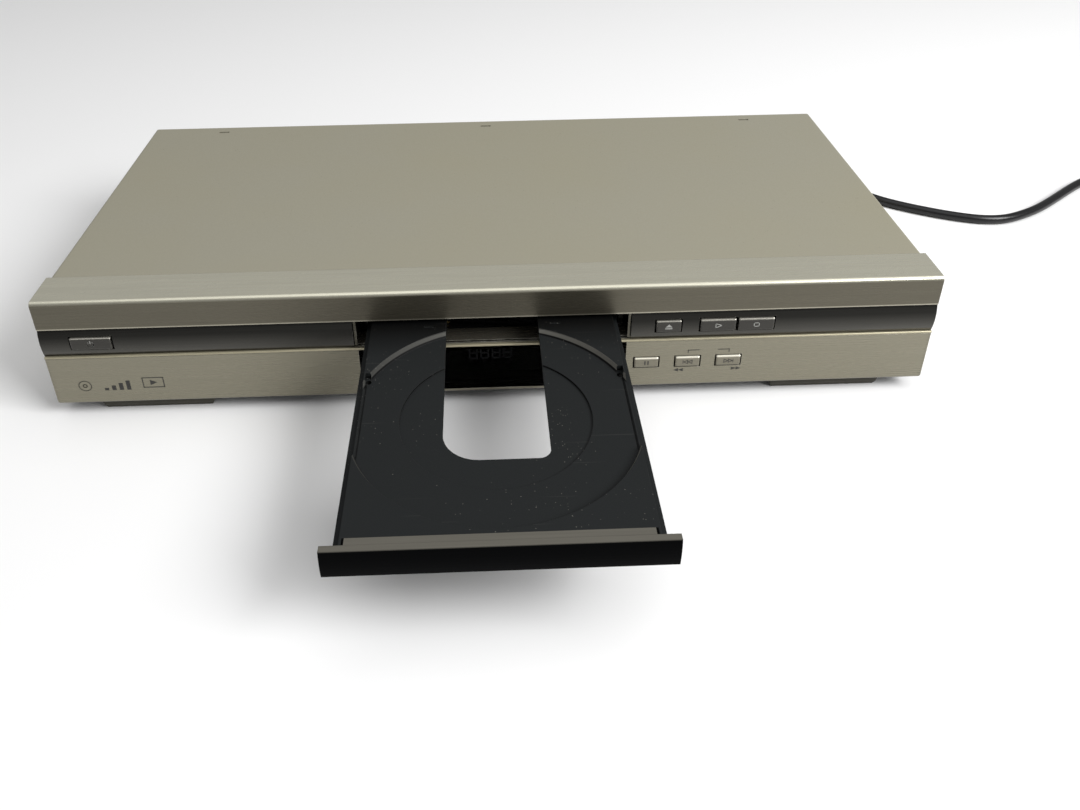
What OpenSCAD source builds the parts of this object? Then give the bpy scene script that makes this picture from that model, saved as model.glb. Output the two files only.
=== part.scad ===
// Full-width disc player with its tray open, as an assembly of separate pieces.
// Millimetres. X runs to the right, Y to the rear and Z up from the surface under the feet.

/* [Body] */
// Width of the front bezel
body_w = 430; // [410:1:520]
// Height of the bezel's top above the surface
body_h = 67.4; // [66:0.2:90]
// Depth from the front face to the rear edge of the cover
body_d = 198; // [196:1:260]
// Depth of the bezel's top face, up to the seam with the cover
bezel_d = 22; // [20:1:30]
// How far the cover's sides stand inside the bezel's sides
cover_inset = 1.5; // [1.2:0.1:4]
// Thickness of the cover's sheet steel
cover_t = 1; // [0.6:0.1:1.2]
// Thickness of the pan's and the rear panel's sheet steel
pan_t = 1; // [0.8:0.1:1.6]
// Height of the feet, which is also that of the casing's lower edge
foot_h = 7.1; // [5:0.1:10]
// Width of a front foot
foot_w = 57; // [40:1:60]

/* [Front face] */
// Height of the lower panel
lower_h = 27.9; // [26:0.1:32]
// Height of the bright trim strip
trim_h = 1.4; // [1:0.1:3]
// Height of the sill above the trim strip
sill_h = 1.1; // [0.8:0.1:2]
// Height of the tray mouth and of the band beside it
mouth_h = 14.3; // [14:0.1:16]
// Width of the tray mouth
mouth_w = 130.6; // [128:0.1:140]
// Wall of the bezel
bezel_t = 2.2; // [1.8:0.1:3]
// Radius of the bezel's top front edge
brow_r = 2.2; // [1:0.1:4]
// How far the band bulges forward
band_bulge = 1.25; // [0.6:0.05:2]
// Thickness of the display window
window_t = 2; // [1.5:0.1:3]

/* [Keys] */
// How far a key travels
key_travel = 0.8; // [0.4:0.1:1.2]
// Gap round a key
key_gap = 0.6; // [0.3:0.05:0.8]
// How far a key stands out of the face round it
key_proud = 0.8; // [0.4:0.1:1.5]

/* [Tray] */
// Diameter of the large disc
disc_d = 120; // [118:1:122]
// Diameter of the small disc
small_disc_d = 80; // [76:1:84]
// How far the tray travels
tray_stroke = 135; // [100:1:137]
// Width of the tray's plate
tray_w = 115; // [112:0.5:118]
// Width over the tray's rails
rail_w = 120.5; // [120:0.5:123]
// Height of a rail
rail_h = 3; // [2:0.1:3.2]
// Depth of the disc recess
recess_h = 2.8; // [2:0.1:3.2]
// Width of the slot for the pickup
slot_w = 43.8; // [42:0.2:48]
// Wall of the tray
tray_t = 1.8; // [1.4:0.1:2.4]

/* [Loading gears] */
// Module of the gear teeth
gear_m = 1; // [0.9:0.05:1.05]
// Teeth of the gear that drives the rack
tray_gear_n = 20; // [18:1:22]
// Teeth of the pinion on the belt pulley
pinion_n = 15; // [14:1:16]
// Play between two flanks
backlash = 0.3; // [0.2:0.05:0.4]

/* [Deck] */
// Angle by which the deck drops when the tray is out
deck_drop = 3.6; // [2.4:0.1:4]
// Sideways travel of the cam slider
cam_travel = 14; // [10:0.5:16]
// How far the pickup travels
pickup_travel = 36; // [30:0.5:36]
// Radius of the turntable
turntable_r = 15; // [13:0.5:16]

/* [Cord] */
// Diameter of the mains cord
cord_d = 6; // [5:0.5:7]
// Radius of the coil at the middle of its turns
coil_r = 31.75; // [30:0.05:36]

/* [Hidden] */

$fn = 48;
eps = 0.01;
fit = 0.05;      // radial clearance of a running fit
slip = 0.3;      // clearance beside what slides
free = 0.6;      // clearance round what passes

// Levels of the front, from the lower edge up
skirt_z = foot_h;
trim_z = skirt_z + lower_h;
band_low = trim_z + trim_h;
mouth_z = band_low + sill_h;
brow_z = mouth_z + mouth_h;
lower_y = -0.2;                       // face of the lower panel, just proud of the brow
band_y = 2;                           // seat of the band strips
trim_seat = band_y - 0.8;             // seat of the trim strip
end_r = 2.2;                          // lower corners of the bezel, seen from the front
seat_t = 2;                           // wall behind the band
skirt_r = 2;
skirt_lip = 8;                        // depth of the bezel's lower edge
mouth_x = mouth_w / 2;
cheek_t = 1.2;                        // cheeks of the tray mouth
cheek_d = 16;
cheek_y = 0.4;
sill_d = 12;
sill_drop = 0.1;
lip_l = 5;                            // tongue under the cover's front edge
lip_t = 1.1;
half_w = body_w / 2;
cover_x = half_w - cover_inset;
cover_top = body_h - 0.2;
cover_low = skirt_z + 1.5;
rear_y = body_d - 2;                  // outer face of the rear panel
floor_z = foot_h + pan_t;             // top of the pan's floor

// Tray, where it stands when it is closed
spindle_y = 70;
tray_top = mouth_z + 12.5;
recess_z = tray_top - recess_h;
small_h = 0.9;
tray_low = recess_z - small_h - 1.7;
tray_x = tray_w / 2;
rail_x = rail_w / 2;
rail_top = tray_low + 0.9;
rail_low = rail_top - rail_h;
recess_r = disc_d / 2 + 0.5;
recess_slope = 1.3;
small_r = small_disc_d / 2 + 0.4;
tray_y = 6.2;                         // front end of the plate
tray_hold = 37;                       // length that stays in the guides
tray_end = tray_stroke + tray_hold;
slot_y = spindle_y - 23.5;
slot_bend = 15;
slot_corner = 5;
slot_x = -22.1;
door_w = mouth_w - 2.4;
door_y = -1.2;
door_t = 3.4;
door_low = mouth_z + 0.7;
door_top = tray_top + 0.9;
shelf_y = tray_y - 0.5;
rack_y = 20;
rack_l = tray_end - rack_y - 4;
rack_t = 2.4;
rack_low = tray_low - 3.6;
out = [0, -tray_stroke, 0];

// Loading gears
tray_gear_r = gear_m * tray_gear_n / 2;
pinion_r = gear_m * pinion_n / 2;
rack_x = 46;                          // pitch line of the rack
tray_gear_at = [rack_x - tray_gear_r, 27];
pinion_dir = 9 * 360 / tray_gear_n;   // the ninth tooth points at the pinion
pulley_at = tray_gear_at + (tray_gear_r + pinion_r) * [cos(pinion_dir), sin(pinion_dir)];
pulley_r = 13.5;
groove_r = 12;
motor_at = [-24, 28];
motor_groove_r = 2.5;
belt_t = 1.2;
shelf_z = mouth_z - 6;                // top of the loader's front shelf
pulley_z = shelf_z + 0.5;
pulley_h = 4;
gear_z = pulley_z + pulley_h + 0.8;
gear_top = tray_low - 0.5;
post_r = 2;

// Sled, from the spindle rearward
sled_y = [88, 121];
deck_open_y = sled_y[0] - 2;
deck_open_end = sled_y[1] + pickup_travel + 3;
hinge_y = deck_open_end + 8;

// Loader frame
wall_x = rail_x + 0.5;
wall_t = 2.5;
wall_out = wall_x + wall_t;
loader_y = 17;
loader_end = max(tray_end + 6, hinge_y + 10);
loader_z = floor_z + 3;
shelf_end = 47;
bridge_z = tray_top + 6;
bridge_t = 1.5;
bridge_d = 36;
clamp_r = 13;
clamp_z = tray_top + 0.6;

// Deck, where it stands when it is raised
hinge = [0, hinge_y, mouth_z - 1.25];
pin_r = 2;
plate_z = hinge[2] - 1.25;
plate_t = 2.5;
plate_top = plate_z + plate_t;
deck_y = 54;
deck_x = 44;
deck_open_x = 27;
deck_end = hinge[1] + 4;
ear_x = wall_x - 4.5;
play_z = tray_top + 0.2;              // underside of a raised disc
rod_z = plate_top + 2.5;
rod_r = 1.5;
rod_x = 30;
screw_x = 37;
cam_pin_r = 1.5;
cam_y = 50.2;
cam_t = 2;
cam_pin_y = cam_y + cam_t / 2;
cam_rise = (hinge[1] - cam_pin_y) * sin(deck_drop);

// Boards
board_t = 1.6;
board_z = floor_z + 9.5;
key_board_y = 11;
rear_in = rear_y - pan_t;
jack_out = 9;
jack_end = rear_y + jack_out;
main_board_x = [-200, -74];
power_board_x = [78, 202];
board_y = [62, rear_in - 11];

// The row's origin is at the middle of the footprint, with the tray out
row_y = -(jack_end + door_y - tray_stroke) / 2;

// Keys: [x, z, width, height, height of the face behind them]
power_place = [-190.9, mouth_z + 6.6, 19.5, 6.6];
eject_place = [84.9, mouth_z + 6.7, 12.2, 6.5];
play_place = [108.9, mouth_z + 6.7, 17.3, 6.8];
stop_place = [127.4, mouth_z + 6.7, 17.5, 6.8];
pause_place = [75.4, trim_z - 12.6, 12, 5.6];
skip_back_place = [95.8, trim_z - 12.6, 12.1, 5.8];
skip_forward_place = [116, trim_z - 12.6, 12.1, 5.8];
band_keys = [power_place, eject_place, play_place, stop_place];
panel_keys = [pause_place, skip_back_place, skip_forward_place];
key_shank = 4;

// Cord: from the gland along the floor to the coil, as chosen points
gland = [190, rear_y, 20];
relief_l = 16;
coil_at = [421.6, 100];
coil_section = [18.4, 12.3];
cord_route = [
    [190, 212, 20], [193.9, 226.5, 18.9], [204.5, 237.1, 16.2], [219, 241, 12.6],
    [233.5, 237.1, 8.8], [241.5, 230.3, 6.5], [256, 212, 3.1], [271, 193, 3], [296, 176.5, 3],
    [319, 166, 3], [334, 163, 3], [349, 165, 3], [372, 176, 3], [396, 193, 3], [416, 207.5, 3],
    [433, 217, 3], [450, 218.5, 3], [465.5, 210, 3], [475.5, 195, 3], [479, 177, 3], [475, 157, 3],
    [468, 136, 3], [461.6, 115, 3], [459.5, 100, 3]];
plug_at = [459.5, 42];
plug_h = 13;
plug_l = 34;
plug_lead = [
    [plug_at[0], 52, 6.5], [plug_at[0], 58, 6.5], [plug_at[0], 64, 6.7], [plug_at[0], 72, 7.6],
    [plug_at[0], 81, 8.8], [plug_at[0], 90, 9.15]];

STEEL = [0.72, 0.73, 0.74];
SILVER = [0.62, 0.61, 0.55];
PANEL = [0.56, 0.54, 0.47];
GUNMETAL = [0.27, 0.27, 0.26];
CHARCOAL = [0.15, 0.16, 0.17];
BLACK = [0.07, 0.07, 0.08];
GREEN = [0.12, 0.38, 0.22];
WHITE = [0.9, 0.9, 0.87];
BRASS = [0.8, 0.66, 0.35];

// ---- helpers ------------------------------------------------------------------------------

// Everything is drawn from the front face's middle and moved to the row's origin here.
module placed() {
    translate([0, row_y, 0]) children();
}

// A box between two corners.
module span(low, high) {
    translate(low) cube(high - low);
}

// A YZ outline, drawn as [y, z], run from x0 to x1.
module along_x(x0, x1) {
    translate([x0, 0, 0]) rotate([90, 0, 90]) linear_extrude(x1 - x0) children();
}

// An XZ outline, drawn as [x, z], run from y0 to y1.
module along_y(y0, y1) {
    translate([0, y1, 0]) rotate([90, 0, 0]) linear_extrude(y1 - y0) children();
}

// Points of an arc.
function arc(c, r, a0, a1, n = 6) =
    [for (i = [0 : n]) c + r * [cos(a0 + (a1 - a0) * i / n), sin(a0 + (a1 - a0) * i / n)]];

// A rectangle with round corners, about its middle.
module rounded(w, h, r, n = 6) {
    a = w / 2 - r;
    b = h / 2 - r;
    polygon(concat(arc([a, b], r, 0, 90, n), arc([-a, b], r, 90, 180, n),
        arc([-a, -b], r, 180, 270, n), arc([a, -b], r, 270, 360, n)));
}

// A round bar along Y.
module bar_y(x, z, r, y0, y1) {
    translate([x, y1, z]) rotate([90, 0, 0]) cylinder(r = r, h = y1 - y0);
}

// A round bar along X.
module bar_x(y, z, r, x0, x1) {
    translate([x0, y, z]) rotate([0, 90, 0]) cylinder(r = r, h = x1 - x0);
}

// A point of the involute of a base circle, unrolled by t degrees.
function involute(rb, t) =
    rb * [cos(t) + t * PI / 180 * sin(t), sin(t) - t * PI / 180 * cos(t)];

function turned(p, a) = [p[0] * cos(a) - p[1] * sin(a), p[0] * sin(a) + p[1] * cos(a)];

pressure = 20;
addendum = 0.85 * gear_m;
dedendum = 1.2 * gear_m;
flank_steps = 3;

// One tooth of a spur gear, centred on +X: root, both flanks and root again.
function tooth(n) =
    let (r = gear_m * n / 2, rb = r * cos(pressure), rt = r + addendum,
        half = (PI * gear_m / 2 - backlash / 2) / (2 * r) * 180 / PI,
        t_pitch = sqrt(pow(r / rb, 2) - 1) * 180 / PI,
        t_tip = sqrt(pow(rt / rb, 2) - 1) * 180 / PI,
        pitch_point = involute(rb, t_pitch),
        swing = half + atan2(pitch_point[1], pitch_point[0]),
        flank = [for (i = [0 : flank_steps]) turned(involute(rb, t_tip * i / flank_steps), -swing)],
        root = (r - dedendum) * [cos(swing), -sin(swing)])
    concat([root], flank,
        [for (i = [flank_steps : -1 : 0]) [flank[i][0], -flank[i][1]]], [[root[0], -root[1]]]);

module gear_outline(n, phase = 0) {
    polygon([for (k = [0 : n - 1]) for (p = tooth(n)) turned(p, phase + 360 * k / n)]);
}

// The same screw everywhere: pan head on a shank.
screw_r = 1.5;
head_r = 3;
head_h = 1.8;
module screw(l) {
    cylinder(r = head_r, h = head_h, $fn = 24);
    translate([0, 0, -l]) cylinder(r = screw_r, h = l + eps, $fn = 24);
}

// ---- casing -------------------------------------------------------------------------------

cover_screw_y = [60, 150];
cover_screw_z = 30;
rear_screw_x = [-150, 0, 150];
rear_screw_z = body_h - 7;
hem = 9;                              // rear flange of the cover
tab_slot = [6.4, 2];
tab_x = [-168, 0, 168];

fold_r = 1.8;                         // outer radius of the cover's folds

// The cover's outline from the front, taken in by t.
module cover_outline(t, low) {
    x = cover_x - t;
    z = cover_top - t;
    r = fold_r - t;
    polygon(concat([[x, low]], arc([x - r, z - r], r, 0, 90, 4), arc([r - x, z - r], r, 90, 180, 4),
        [[-x, low]]));
}

module top_cover() {
    color(SILVER) placed() difference() {
        union() {
            along_y(bezel_d, body_d) difference() {
                cover_outline(0, cover_low);
                cover_outline(cover_t, cover_low - 1);
            }
            span([-cover_x + cover_t - eps, rear_y + slip, cover_top - hem],
                [cover_x - cover_t + eps, rear_y + slip + cover_t, cover_top - cover_t + eps]);
        }
        for (x = tab_x)
            translate([x - tab_slot[0] / 2, body_d - 8, cover_top - cover_t - 1])
                cube([tab_slot[0], tab_slot[1], cover_t + 2]);
        for (x = rear_screw_x) bar_y(x, rear_screw_z, screw_r + slip, rear_y, body_d + 1);
        for (y = cover_screw_y, s = [-1, 1])
            bar_x(y, cover_screw_z, screw_r + slip, s * cover_x - 3, s * cover_x + 3);
    }
}

boss_r = 3;
band_back = band_y + seat_t;
panel_back = lower_y + bezel_t;
board_bosses = [[-56, 14], [56, 14], [72, 32], [146, 50], [146, 14], [-205, 32], [-178, 50]];

module bezel_section() {
    difference() {
        polygon(concat([[bezel_d, body_h]], arc([brow_r, body_h - brow_r], brow_r, 90, 180),
            [[0, brow_z], [band_y, brow_z], [band_y, band_low], [trim_seat, band_low],
                [trim_seat, trim_z], [lower_y, trim_z]],
            arc([lower_y + skirt_r, skirt_z + skirt_r], skirt_r, 180, 270), [[bezel_d, skirt_z]]));
        polygon([[bezel_d + 1, body_h - bezel_t], [bezel_t, body_h - bezel_t],
            [bezel_t, brow_z + 1.5], [band_y + seat_t, brow_z + 1.5],
            [band_y + seat_t, trim_z - 1.3], [lower_y + bezel_t, trim_z - 1.3],
            [lower_y + bezel_t, skirt_z + bezel_t], [skirt_lip, skirt_z + bezel_t],
            [skirt_lip, skirt_z - 1], [bezel_d + 1, skirt_z - 1]]);
    }
}

module bezel_end() {
    polygon(concat([[bezel_d, body_h]], arc([brow_r, body_h - brow_r], brow_r, 90, 180),
        [[0, brow_z], [band_y, brow_z], [band_y, band_low], [trim_seat, band_low],
            [trim_seat, trim_z], [lower_y, trim_z]],
        arc([lower_y + skirt_r, skirt_z + skirt_r], skirt_r, 180, 270), [[bezel_d, skirt_z]]));
}

window_x = mouth_x - 0.3;
window_z = [skirt_z + 2.5, trim_z];
window_rim = 2.5;

module front_bezel() {
    color(PANEL) placed() difference() {
        union() {
            along_x(-half_w + bezel_t, half_w - bezel_t) bezel_section();
            for (s = [0, 1]) mirror([s, 0, 0]) {
                along_x(half_w - bezel_t - eps, half_w) bezel_end();
                span([mouth_x, cheek_y, mouth_z], [mouth_x + cheek_t, cheek_d, brow_z + 1.5]);
                span([mouth_x, band_y, mouth_z - 1.6], [mouth_x + cheek_t, cheek_d, mouth_z + eps]);
            }
            span([-cover_x + 3, bezel_d - eps, cover_top - cover_t - 0.1 - lip_t],
                [cover_x - 3, bezel_d + lip_l, cover_top - cover_t - 0.1]);
            span([-mouth_x - cheek_t, band_y, mouth_z - sill_drop - 1.5],
                [mouth_x + cheek_t, sill_d, mouth_z - sill_drop]);
            span([-mouth_x - cheek_t, eps, brow_z], [mouth_x + cheek_t, sill_d + 1, brow_z + 1.5]);
            for (b = board_bosses)
                bar_y(b[0], b[1], boss_r, (b[1] > trim_z ? band_back : panel_back) - 0.5, key_board_y);
        }
        span([-mouth_x, -2, mouth_z], [mouth_x, sill_d + 2, brow_z]);
        for (s = [0, 1]) mirror([s, 0, 0]) along_y(-2, bezel_d + 1)
            polygon(concat([[half_w + 1, skirt_z + end_r], [half_w + 1, skirt_z - 1],
                [half_w - end_r, skirt_z - 1]],
                arc([half_w - end_r, skirt_z + end_r], end_r, 270, 360)));
        span([-window_x - 0.1, lower_y - 1, window_z[0] - 0.1],
            [window_x + 0.1, lower_y + window_t - 0.4, window_z[1] + eps]);
        span([-window_x + window_rim, lower_y, window_z[0] + window_rim],
            [window_x - window_rim, 5, window_z[1] - window_rim]);
        for (k = concat(band_keys, panel_keys))
            span([k[0] - k[2] / 2 - key_gap, -2, k[1] - k[3] / 2 - key_gap],
                [k[0] + k[2] / 2 + key_gap, 8, k[1] + k[3] / 2 + key_gap]);
    }
}

band_face = -0.65;
seam = 0.15;

// The band is a strip with an arched face.
module band_section() {
    drop = (brow_z - band_low) / 2 - seam;
    r = (pow(drop, 2) + pow(band_bulge, 2)) / (2 * band_bulge);
    swing = asin(drop / r);
    polygon(concat(arc([band_face + r, (brow_z + band_low) / 2], r, 180 - swing, 180 + swing, 12),
        [[band_y, band_low + seam], [band_y, brow_z - seam]]));
}

module key_holes(keys) {
    for (k = keys)
        span([k[0] - k[2] / 2 - key_gap, -3, k[1] - k[3] / 2 - key_gap],
            [k[0] + k[2] / 2 + key_gap, 5, k[1] + k[3] / 2 + key_gap]);
}

module left_band() {
    color(GUNMETAL) placed() difference() {
        along_x(-half_w, -mouth_x - cheek_t - 0.4) band_section();
        key_holes(band_keys);
    }
}

module right_band() {
    color(GUNMETAL) placed() difference() {
        along_x(mouth_x + cheek_t + 0.4, half_w) band_section();
        key_holes(band_keys);
    }
}

module trim_strip() {
    trim_y = -0.6;
    half = (trim_h - seam) / 2;
    color(WHITE) placed() along_x(-half_w, half_w)
        polygon(concat([[trim_seat, trim_z + trim_h - seam / 2]],
            [for (p = arc([0, 0], half, 90, 270, 8)) [trim_y + half + p[0], trim_z + trim_h / 2 + p[1]]],
            [[trim_seat, trim_z + seam / 2]]));
}

module display_window() {
    color(BLACK) placed() span([-window_x, lower_y, window_z[0]],
        [window_x, lower_y + window_t - 0.4, window_z[1] - 0.1]);
}

tube_x = 34;
tube_z = [19, 33];
tube_y = [4.5, 9.5];

module display_tube() {
    color([0.2, 0.25, 0.25]) placed() {
        span([-tube_x, tube_y[0], tube_z[0]], [tube_x, tube_y[1], tube_z[1]]);
        for (i = [0 : 15])
            bar_y(-tube_x + 4.5 + i * 4, tube_z[0] + 2, 0.4, tube_y[1] - eps, key_board_y);
    }
}

module display_board() {
    color(GREEN) placed() difference() {
        span([-61, key_board_y, 11], [61, key_board_y + board_t, trim_z - 1.5]);
        for (b = board_bosses) bar_y(b[0], b[1], screw_r, key_board_y - 1, key_board_y + 3);
    }
}

module key_board() {
    color(GREEN) placed() difference() {
        union() {
            span([68.5, key_board_y, 11], [150, key_board_y + board_t, 53]);
            span([-209, key_board_y, 28], [-174, key_board_y + board_t, 53]);
        }
        for (b = board_bosses) bar_y(b[0], b[1], screw_r, key_board_y - 1, key_board_y + 3);
    }
}

switch_w = 6;
switch_y = 7.8;

module key_switches() {
    color(BLACK) placed() for (k = concat(band_keys, panel_keys)) difference() {
        span([k[0] - switch_w / 2, switch_y, k[1] - switch_w / 2],
            [k[0] + switch_w / 2, key_board_y, k[1] + switch_w / 2]);
        bar_y(k[0], k[1], 1.75, switch_y - 1, switch_y + 0.6);
    }
}

// Depth and inset of the cap's rounded edge.
cap_edge = [[0, 0.8], [0.2, 0.25], [0.6, 0]];

// A key: cap, catch behind the wall and shank towards its switch.
module key(place, face_y, back_y) {
    w = place[2];
    h = place[3];
    catch_h = h + 2 * key_gap + 1.2;
    translate([place[0], 0, place[1]]) {
        translate([0, face_y - key_proud, 0]) rotate([-90, 0, 0]) {
            hull() for (e = cap_edge)
                translate([0, 0, e[0]]) linear_extrude(eps) rounded(w - 2 * e[1], h - 2 * e[1], 0.6, 3);
            translate([0, 0, cap_edge[2][0]])
                linear_extrude(back_y - face_y + key_proud + 1 - cap_edge[2][0]) rounded(w, h, 0.6, 3);
        }
        span([-w / 2 + 1.5, back_y + slip, -catch_h / 2], [w / 2 - 1.5, back_y + slip + 1, catch_h / 2]);
        span([-key_shank / 2, back_y + 1, -key_shank / 2],
            [key_shank / 2, switch_y - key_travel - 0.2, key_shank / 2]);
    }
}

module power_key() { color(GUNMETAL) placed() key(power_place, band_face, band_back); }
module eject_key() { color(GUNMETAL) placed() key(eject_place, band_face, band_back); }
module play_key() { color(GUNMETAL) placed() key(play_place, band_face, band_back); }
module stop_key() { color(GUNMETAL) placed() key(stop_place, band_face, band_back); }
module pause_key() { color(PANEL) placed() key(pause_place, lower_y, panel_back); }
module skip_back_key() { color(PANEL) placed() key(skip_back_place, lower_y, panel_back); }
module skip_forward_key() { color(PANEL) placed() key(skip_forward_place, lower_y, panel_back); }

// ---- chassis ------------------------------------------------------------------------------

pan_x = cover_x - cover_t - 0.5;
pan_y = skirt_lip + slip;
flange_h = 24;
standoff_r = 3.5;
main_holes = [[main_board_x[0] + 6, board_y[0] + 6], [main_board_x[1] - 6, board_y[0] + 6],
    [main_board_x[0] + 6, board_y[1] - 26], [main_board_x[1] - 6, board_y[1] - 26]];
power_holes = [[power_board_x[0] + 6, board_y[0] + 6], [power_board_x[1] - 6, board_y[0] + 6],
    [power_board_x[0] + 6, board_y[1] - 6], [power_board_x[1] - 6, board_y[1] - 6]];
loader_holes = [[-wall_out + 6, loader_y + 39], [wall_out - 6, loader_y + 39],
    [-wall_out + 6, loader_end - 6], [wall_out - 6, loader_end - 6]];
front_foot_at = [half_w - 47, 17];
rear_foot_at = [half_w - 47.5, body_d - 22];
foot_d = 26;
vent_w = 3;
vent_n = 14;
vent_pitch = 8;
bead_y = [86, 149];                   // pressed beads across the pan
bead_w = 6;
bead_l = 380;
bead_h = 0.8;

module base_pan() {
    color(STEEL) placed() difference() {
        union() {
            span([-pan_x, pan_y, foot_h], [pan_x, rear_in, floor_z]);
            for (s = [0, 1]) mirror([s, 0, 0])
                span([pan_x - pan_t, bezel_d, foot_h], [pan_x, rear_in, foot_h + flange_h]);
            for (p = concat(main_holes, power_holes))
                translate([p[0], p[1], floor_z - eps])
                    cylinder(r = standoff_r, h = board_z - floor_z + eps);
            for (p = loader_holes)
                translate([p[0], p[1], floor_z - eps])
                    cylinder(r = standoff_r, h = loader_z - floor_z + eps);
            for (y = bead_y) translate([0, y, foot_h - bead_h]) {
                linear_extrude(bead_h + eps)
                    rounded(bead_l - bead_w / 3, bead_w * 2 / 3, bead_w / 3 - eps, 4);
                translate([0, 0, bead_h / 2]) linear_extrude(bead_h / 2 + eps)
                    rounded(bead_l, bead_w, bead_w / 2 - eps, 4);
            }
        }
        for (y = bead_y) translate([0, y, floor_z - bead_h])
            linear_extrude(bead_h + 1)
                rounded(bead_l - 2 * pan_t, bead_w - 2 * pan_t, bead_w / 2 - pan_t - eps, 4);
        for (p = concat(main_holes, power_holes, loader_holes))
            translate([p[0], p[1], foot_h - 1]) cylinder(r = screw_r, h = 20);
        for (i = [0 : vent_n - 1], s = [-1, 1])
            translate([s * 140 + (i - (vent_n - 1) / 2) * vent_pitch, 120, foot_h - 1])
                linear_extrude(pan_t + 2) rounded(vent_w, 40, vent_w / 2 - eps, 2);
        for (y = cover_screw_y, s = [-1, 1])
            bar_x(y, cover_screw_z, screw_r, s * pan_x - 3, s * pan_x + 3);
    }
}

jack_x = [-186, -172, -158, -138, -124];
jack_rows = [22, 38];
jack_r = 4.15;
jack_neck_r = 3.5;
svideo_x = -106;
jack_screws = [[(jack_x[0] + jack_x[2]) / 2 + 7, 30], [(jack_x[3] + jack_x[4]) / 2, 30]];
rear_frames = [[-172, 30, 42, 32], [-121.2, 30, 48.4, 32], [98, 38, 150, 39]];
frame_h = 0.5;

module rear_panel() {
    color(STEEL) placed() difference() {
        union() {
            span([-pan_x, rear_in, foot_h + eps], [pan_x, rear_y, cover_top - cover_t - slip]);
            for (f = rear_frames) translate([f[0], rear_y + frame_h, f[1]]) rotate([90, 0, 0])
                linear_extrude(frame_h + eps) difference() {
                    rounded(f[2], f[3], 3, 4);
                    rounded(f[2] - 2.4, f[3] - 2.4, 1.8, 4);
                }
        }
        for (p = jack_screws) bar_y(p[0], p[1], screw_r, rear_in - 1, rear_y + 1);
        for (x = jack_x, z = jack_rows) bar_y(x, z, jack_neck_r + slip, rear_in - 1, rear_y + 1);
        bar_y(svideo_x, jack_rows[0], 6 + slip, rear_in - 1, rear_y + 1);
        bar_y(gland[0], gland[2], 5, rear_in - 1, rear_y + 1);
        for (x = rear_screw_x) bar_y(x, rear_screw_z, screw_r, rear_in - 1, rear_y + 1);
        for (i = [0 : 17], z = [28, 48])
            translate([30 + i * 8, rear_y + 1, z]) rotate([90, 0, 0])
                linear_extrude(pan_t + 2) rounded(vent_w, 14, vent_w / 2 - eps, 2);
    }
}

foot_taper = 2.4;                     // how far a foot's ends lean in
foot_edge = 1.5;
foot_r = 2.5;

// A foot: a pad whose ends lean in towards the surface, with its lower edges taken in.
module foot(w, d) {
    intersection() {
        linear_extrude(foot_h) rounded(w, d, foot_r);
        along_y(-d / 2, d / 2) polygon([[foot_taper - w / 2, 0], [w / 2 - foot_taper, 0],
            [w / 2, foot_h * 0.7], [w / 2, foot_h], [-w / 2, foot_h], [-w / 2, foot_h * 0.7]]);
        along_x(-w / 2, w / 2) polygon([[foot_edge - d / 2, 0], [d / 2 - foot_edge, 0],
            [d / 2, 2 * foot_edge], [d / 2, foot_h], [-d / 2, foot_h], [-d / 2, 2 * foot_edge]]);
    }
}

module front_feet() {
    color(GUNMETAL) placed() for (s = [-1, 1])
        translate([s * front_foot_at[0], front_foot_at[1], 0]) foot(foot_w, foot_d);
}

module rear_feet() {
    color(BLACK) placed() for (s = [-1, 1])
        translate([s * rear_foot_at[0], rear_foot_at[1], 0]) foot(30, 20);
}

module cover_screws() {
    color(STEEL) placed() {
        for (x = rear_screw_x)
            translate([x, rear_y + slip + cover_t, rear_screw_z]) rotate([-90, 0, 0]) screw(5);
        for (y = cover_screw_y) {
            translate([cover_x, y, cover_screw_z]) rotate([0, 90, 0]) screw(5);
            translate([-cover_x, y, cover_screw_z]) rotate([0, -90, 0]) screw(5);
        }
    }
}

loader_foot_t = 2.5;

module inner_screws() {
    color(STEEL) placed() {
        for (p = concat(main_holes, power_holes)) translate([p[0], p[1], board_z + board_t]) screw(6);
        for (p = loader_holes) translate([p[0], p[1], loader_z + loader_foot_t]) screw(5);
        for (b = board_bosses)
            translate([b[0], key_board_y + board_t, b[1]]) rotate([-90, 0, 0]) screw(board_t);
        for (p = jack_screws) translate([p[0], rear_y, p[1]]) rotate([-90, 0, 0]) screw(4);
    }
}

// ---- tray ---------------------------------------------------------------------------------

module slot_outline() {
    x1 = slot_x + slot_w;
    polygon(concat(arc([slot_x + slot_bend, slot_y + slot_bend], slot_bend, 180, 270, 8),
        arc([x1 - slot_corner, slot_y + slot_corner], slot_corner, 270, 360, 6),
        [[x1, tray_end + 1], [slot_x, tray_end + 1]]));
}

// The rack's teeth stand towards -X, with a gap level with the tray gear when the tray is out.
module rack_outline() {
    pitch = PI * gear_m;
    lean = tan(pressure);
    half = pitch / 4 - backlash / 4;
    root_x = rack_x + dedendum;
    tip_x = rack_x - addendum;
    first = tray_gear_at[1] + tray_stroke + pitch * 1.5;
    count = floor((first - rack_y) / pitch);
    polygon(concat([[root_x + rack_t, first + pitch / 2], [root_x, first + pitch / 2]],
        [for (k = [0 : count - 1]) let (y = first - k * pitch)
            each [[root_x, y + half + dedendum * lean], [tip_x, y + half - addendum * lean],
                [tip_x, y - half + addendum * lean], [root_x, y - half - dedendum * lean]]],
        [[root_x, first - count * pitch], [root_x + rack_t, first - count * pitch]]));
}

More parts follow.
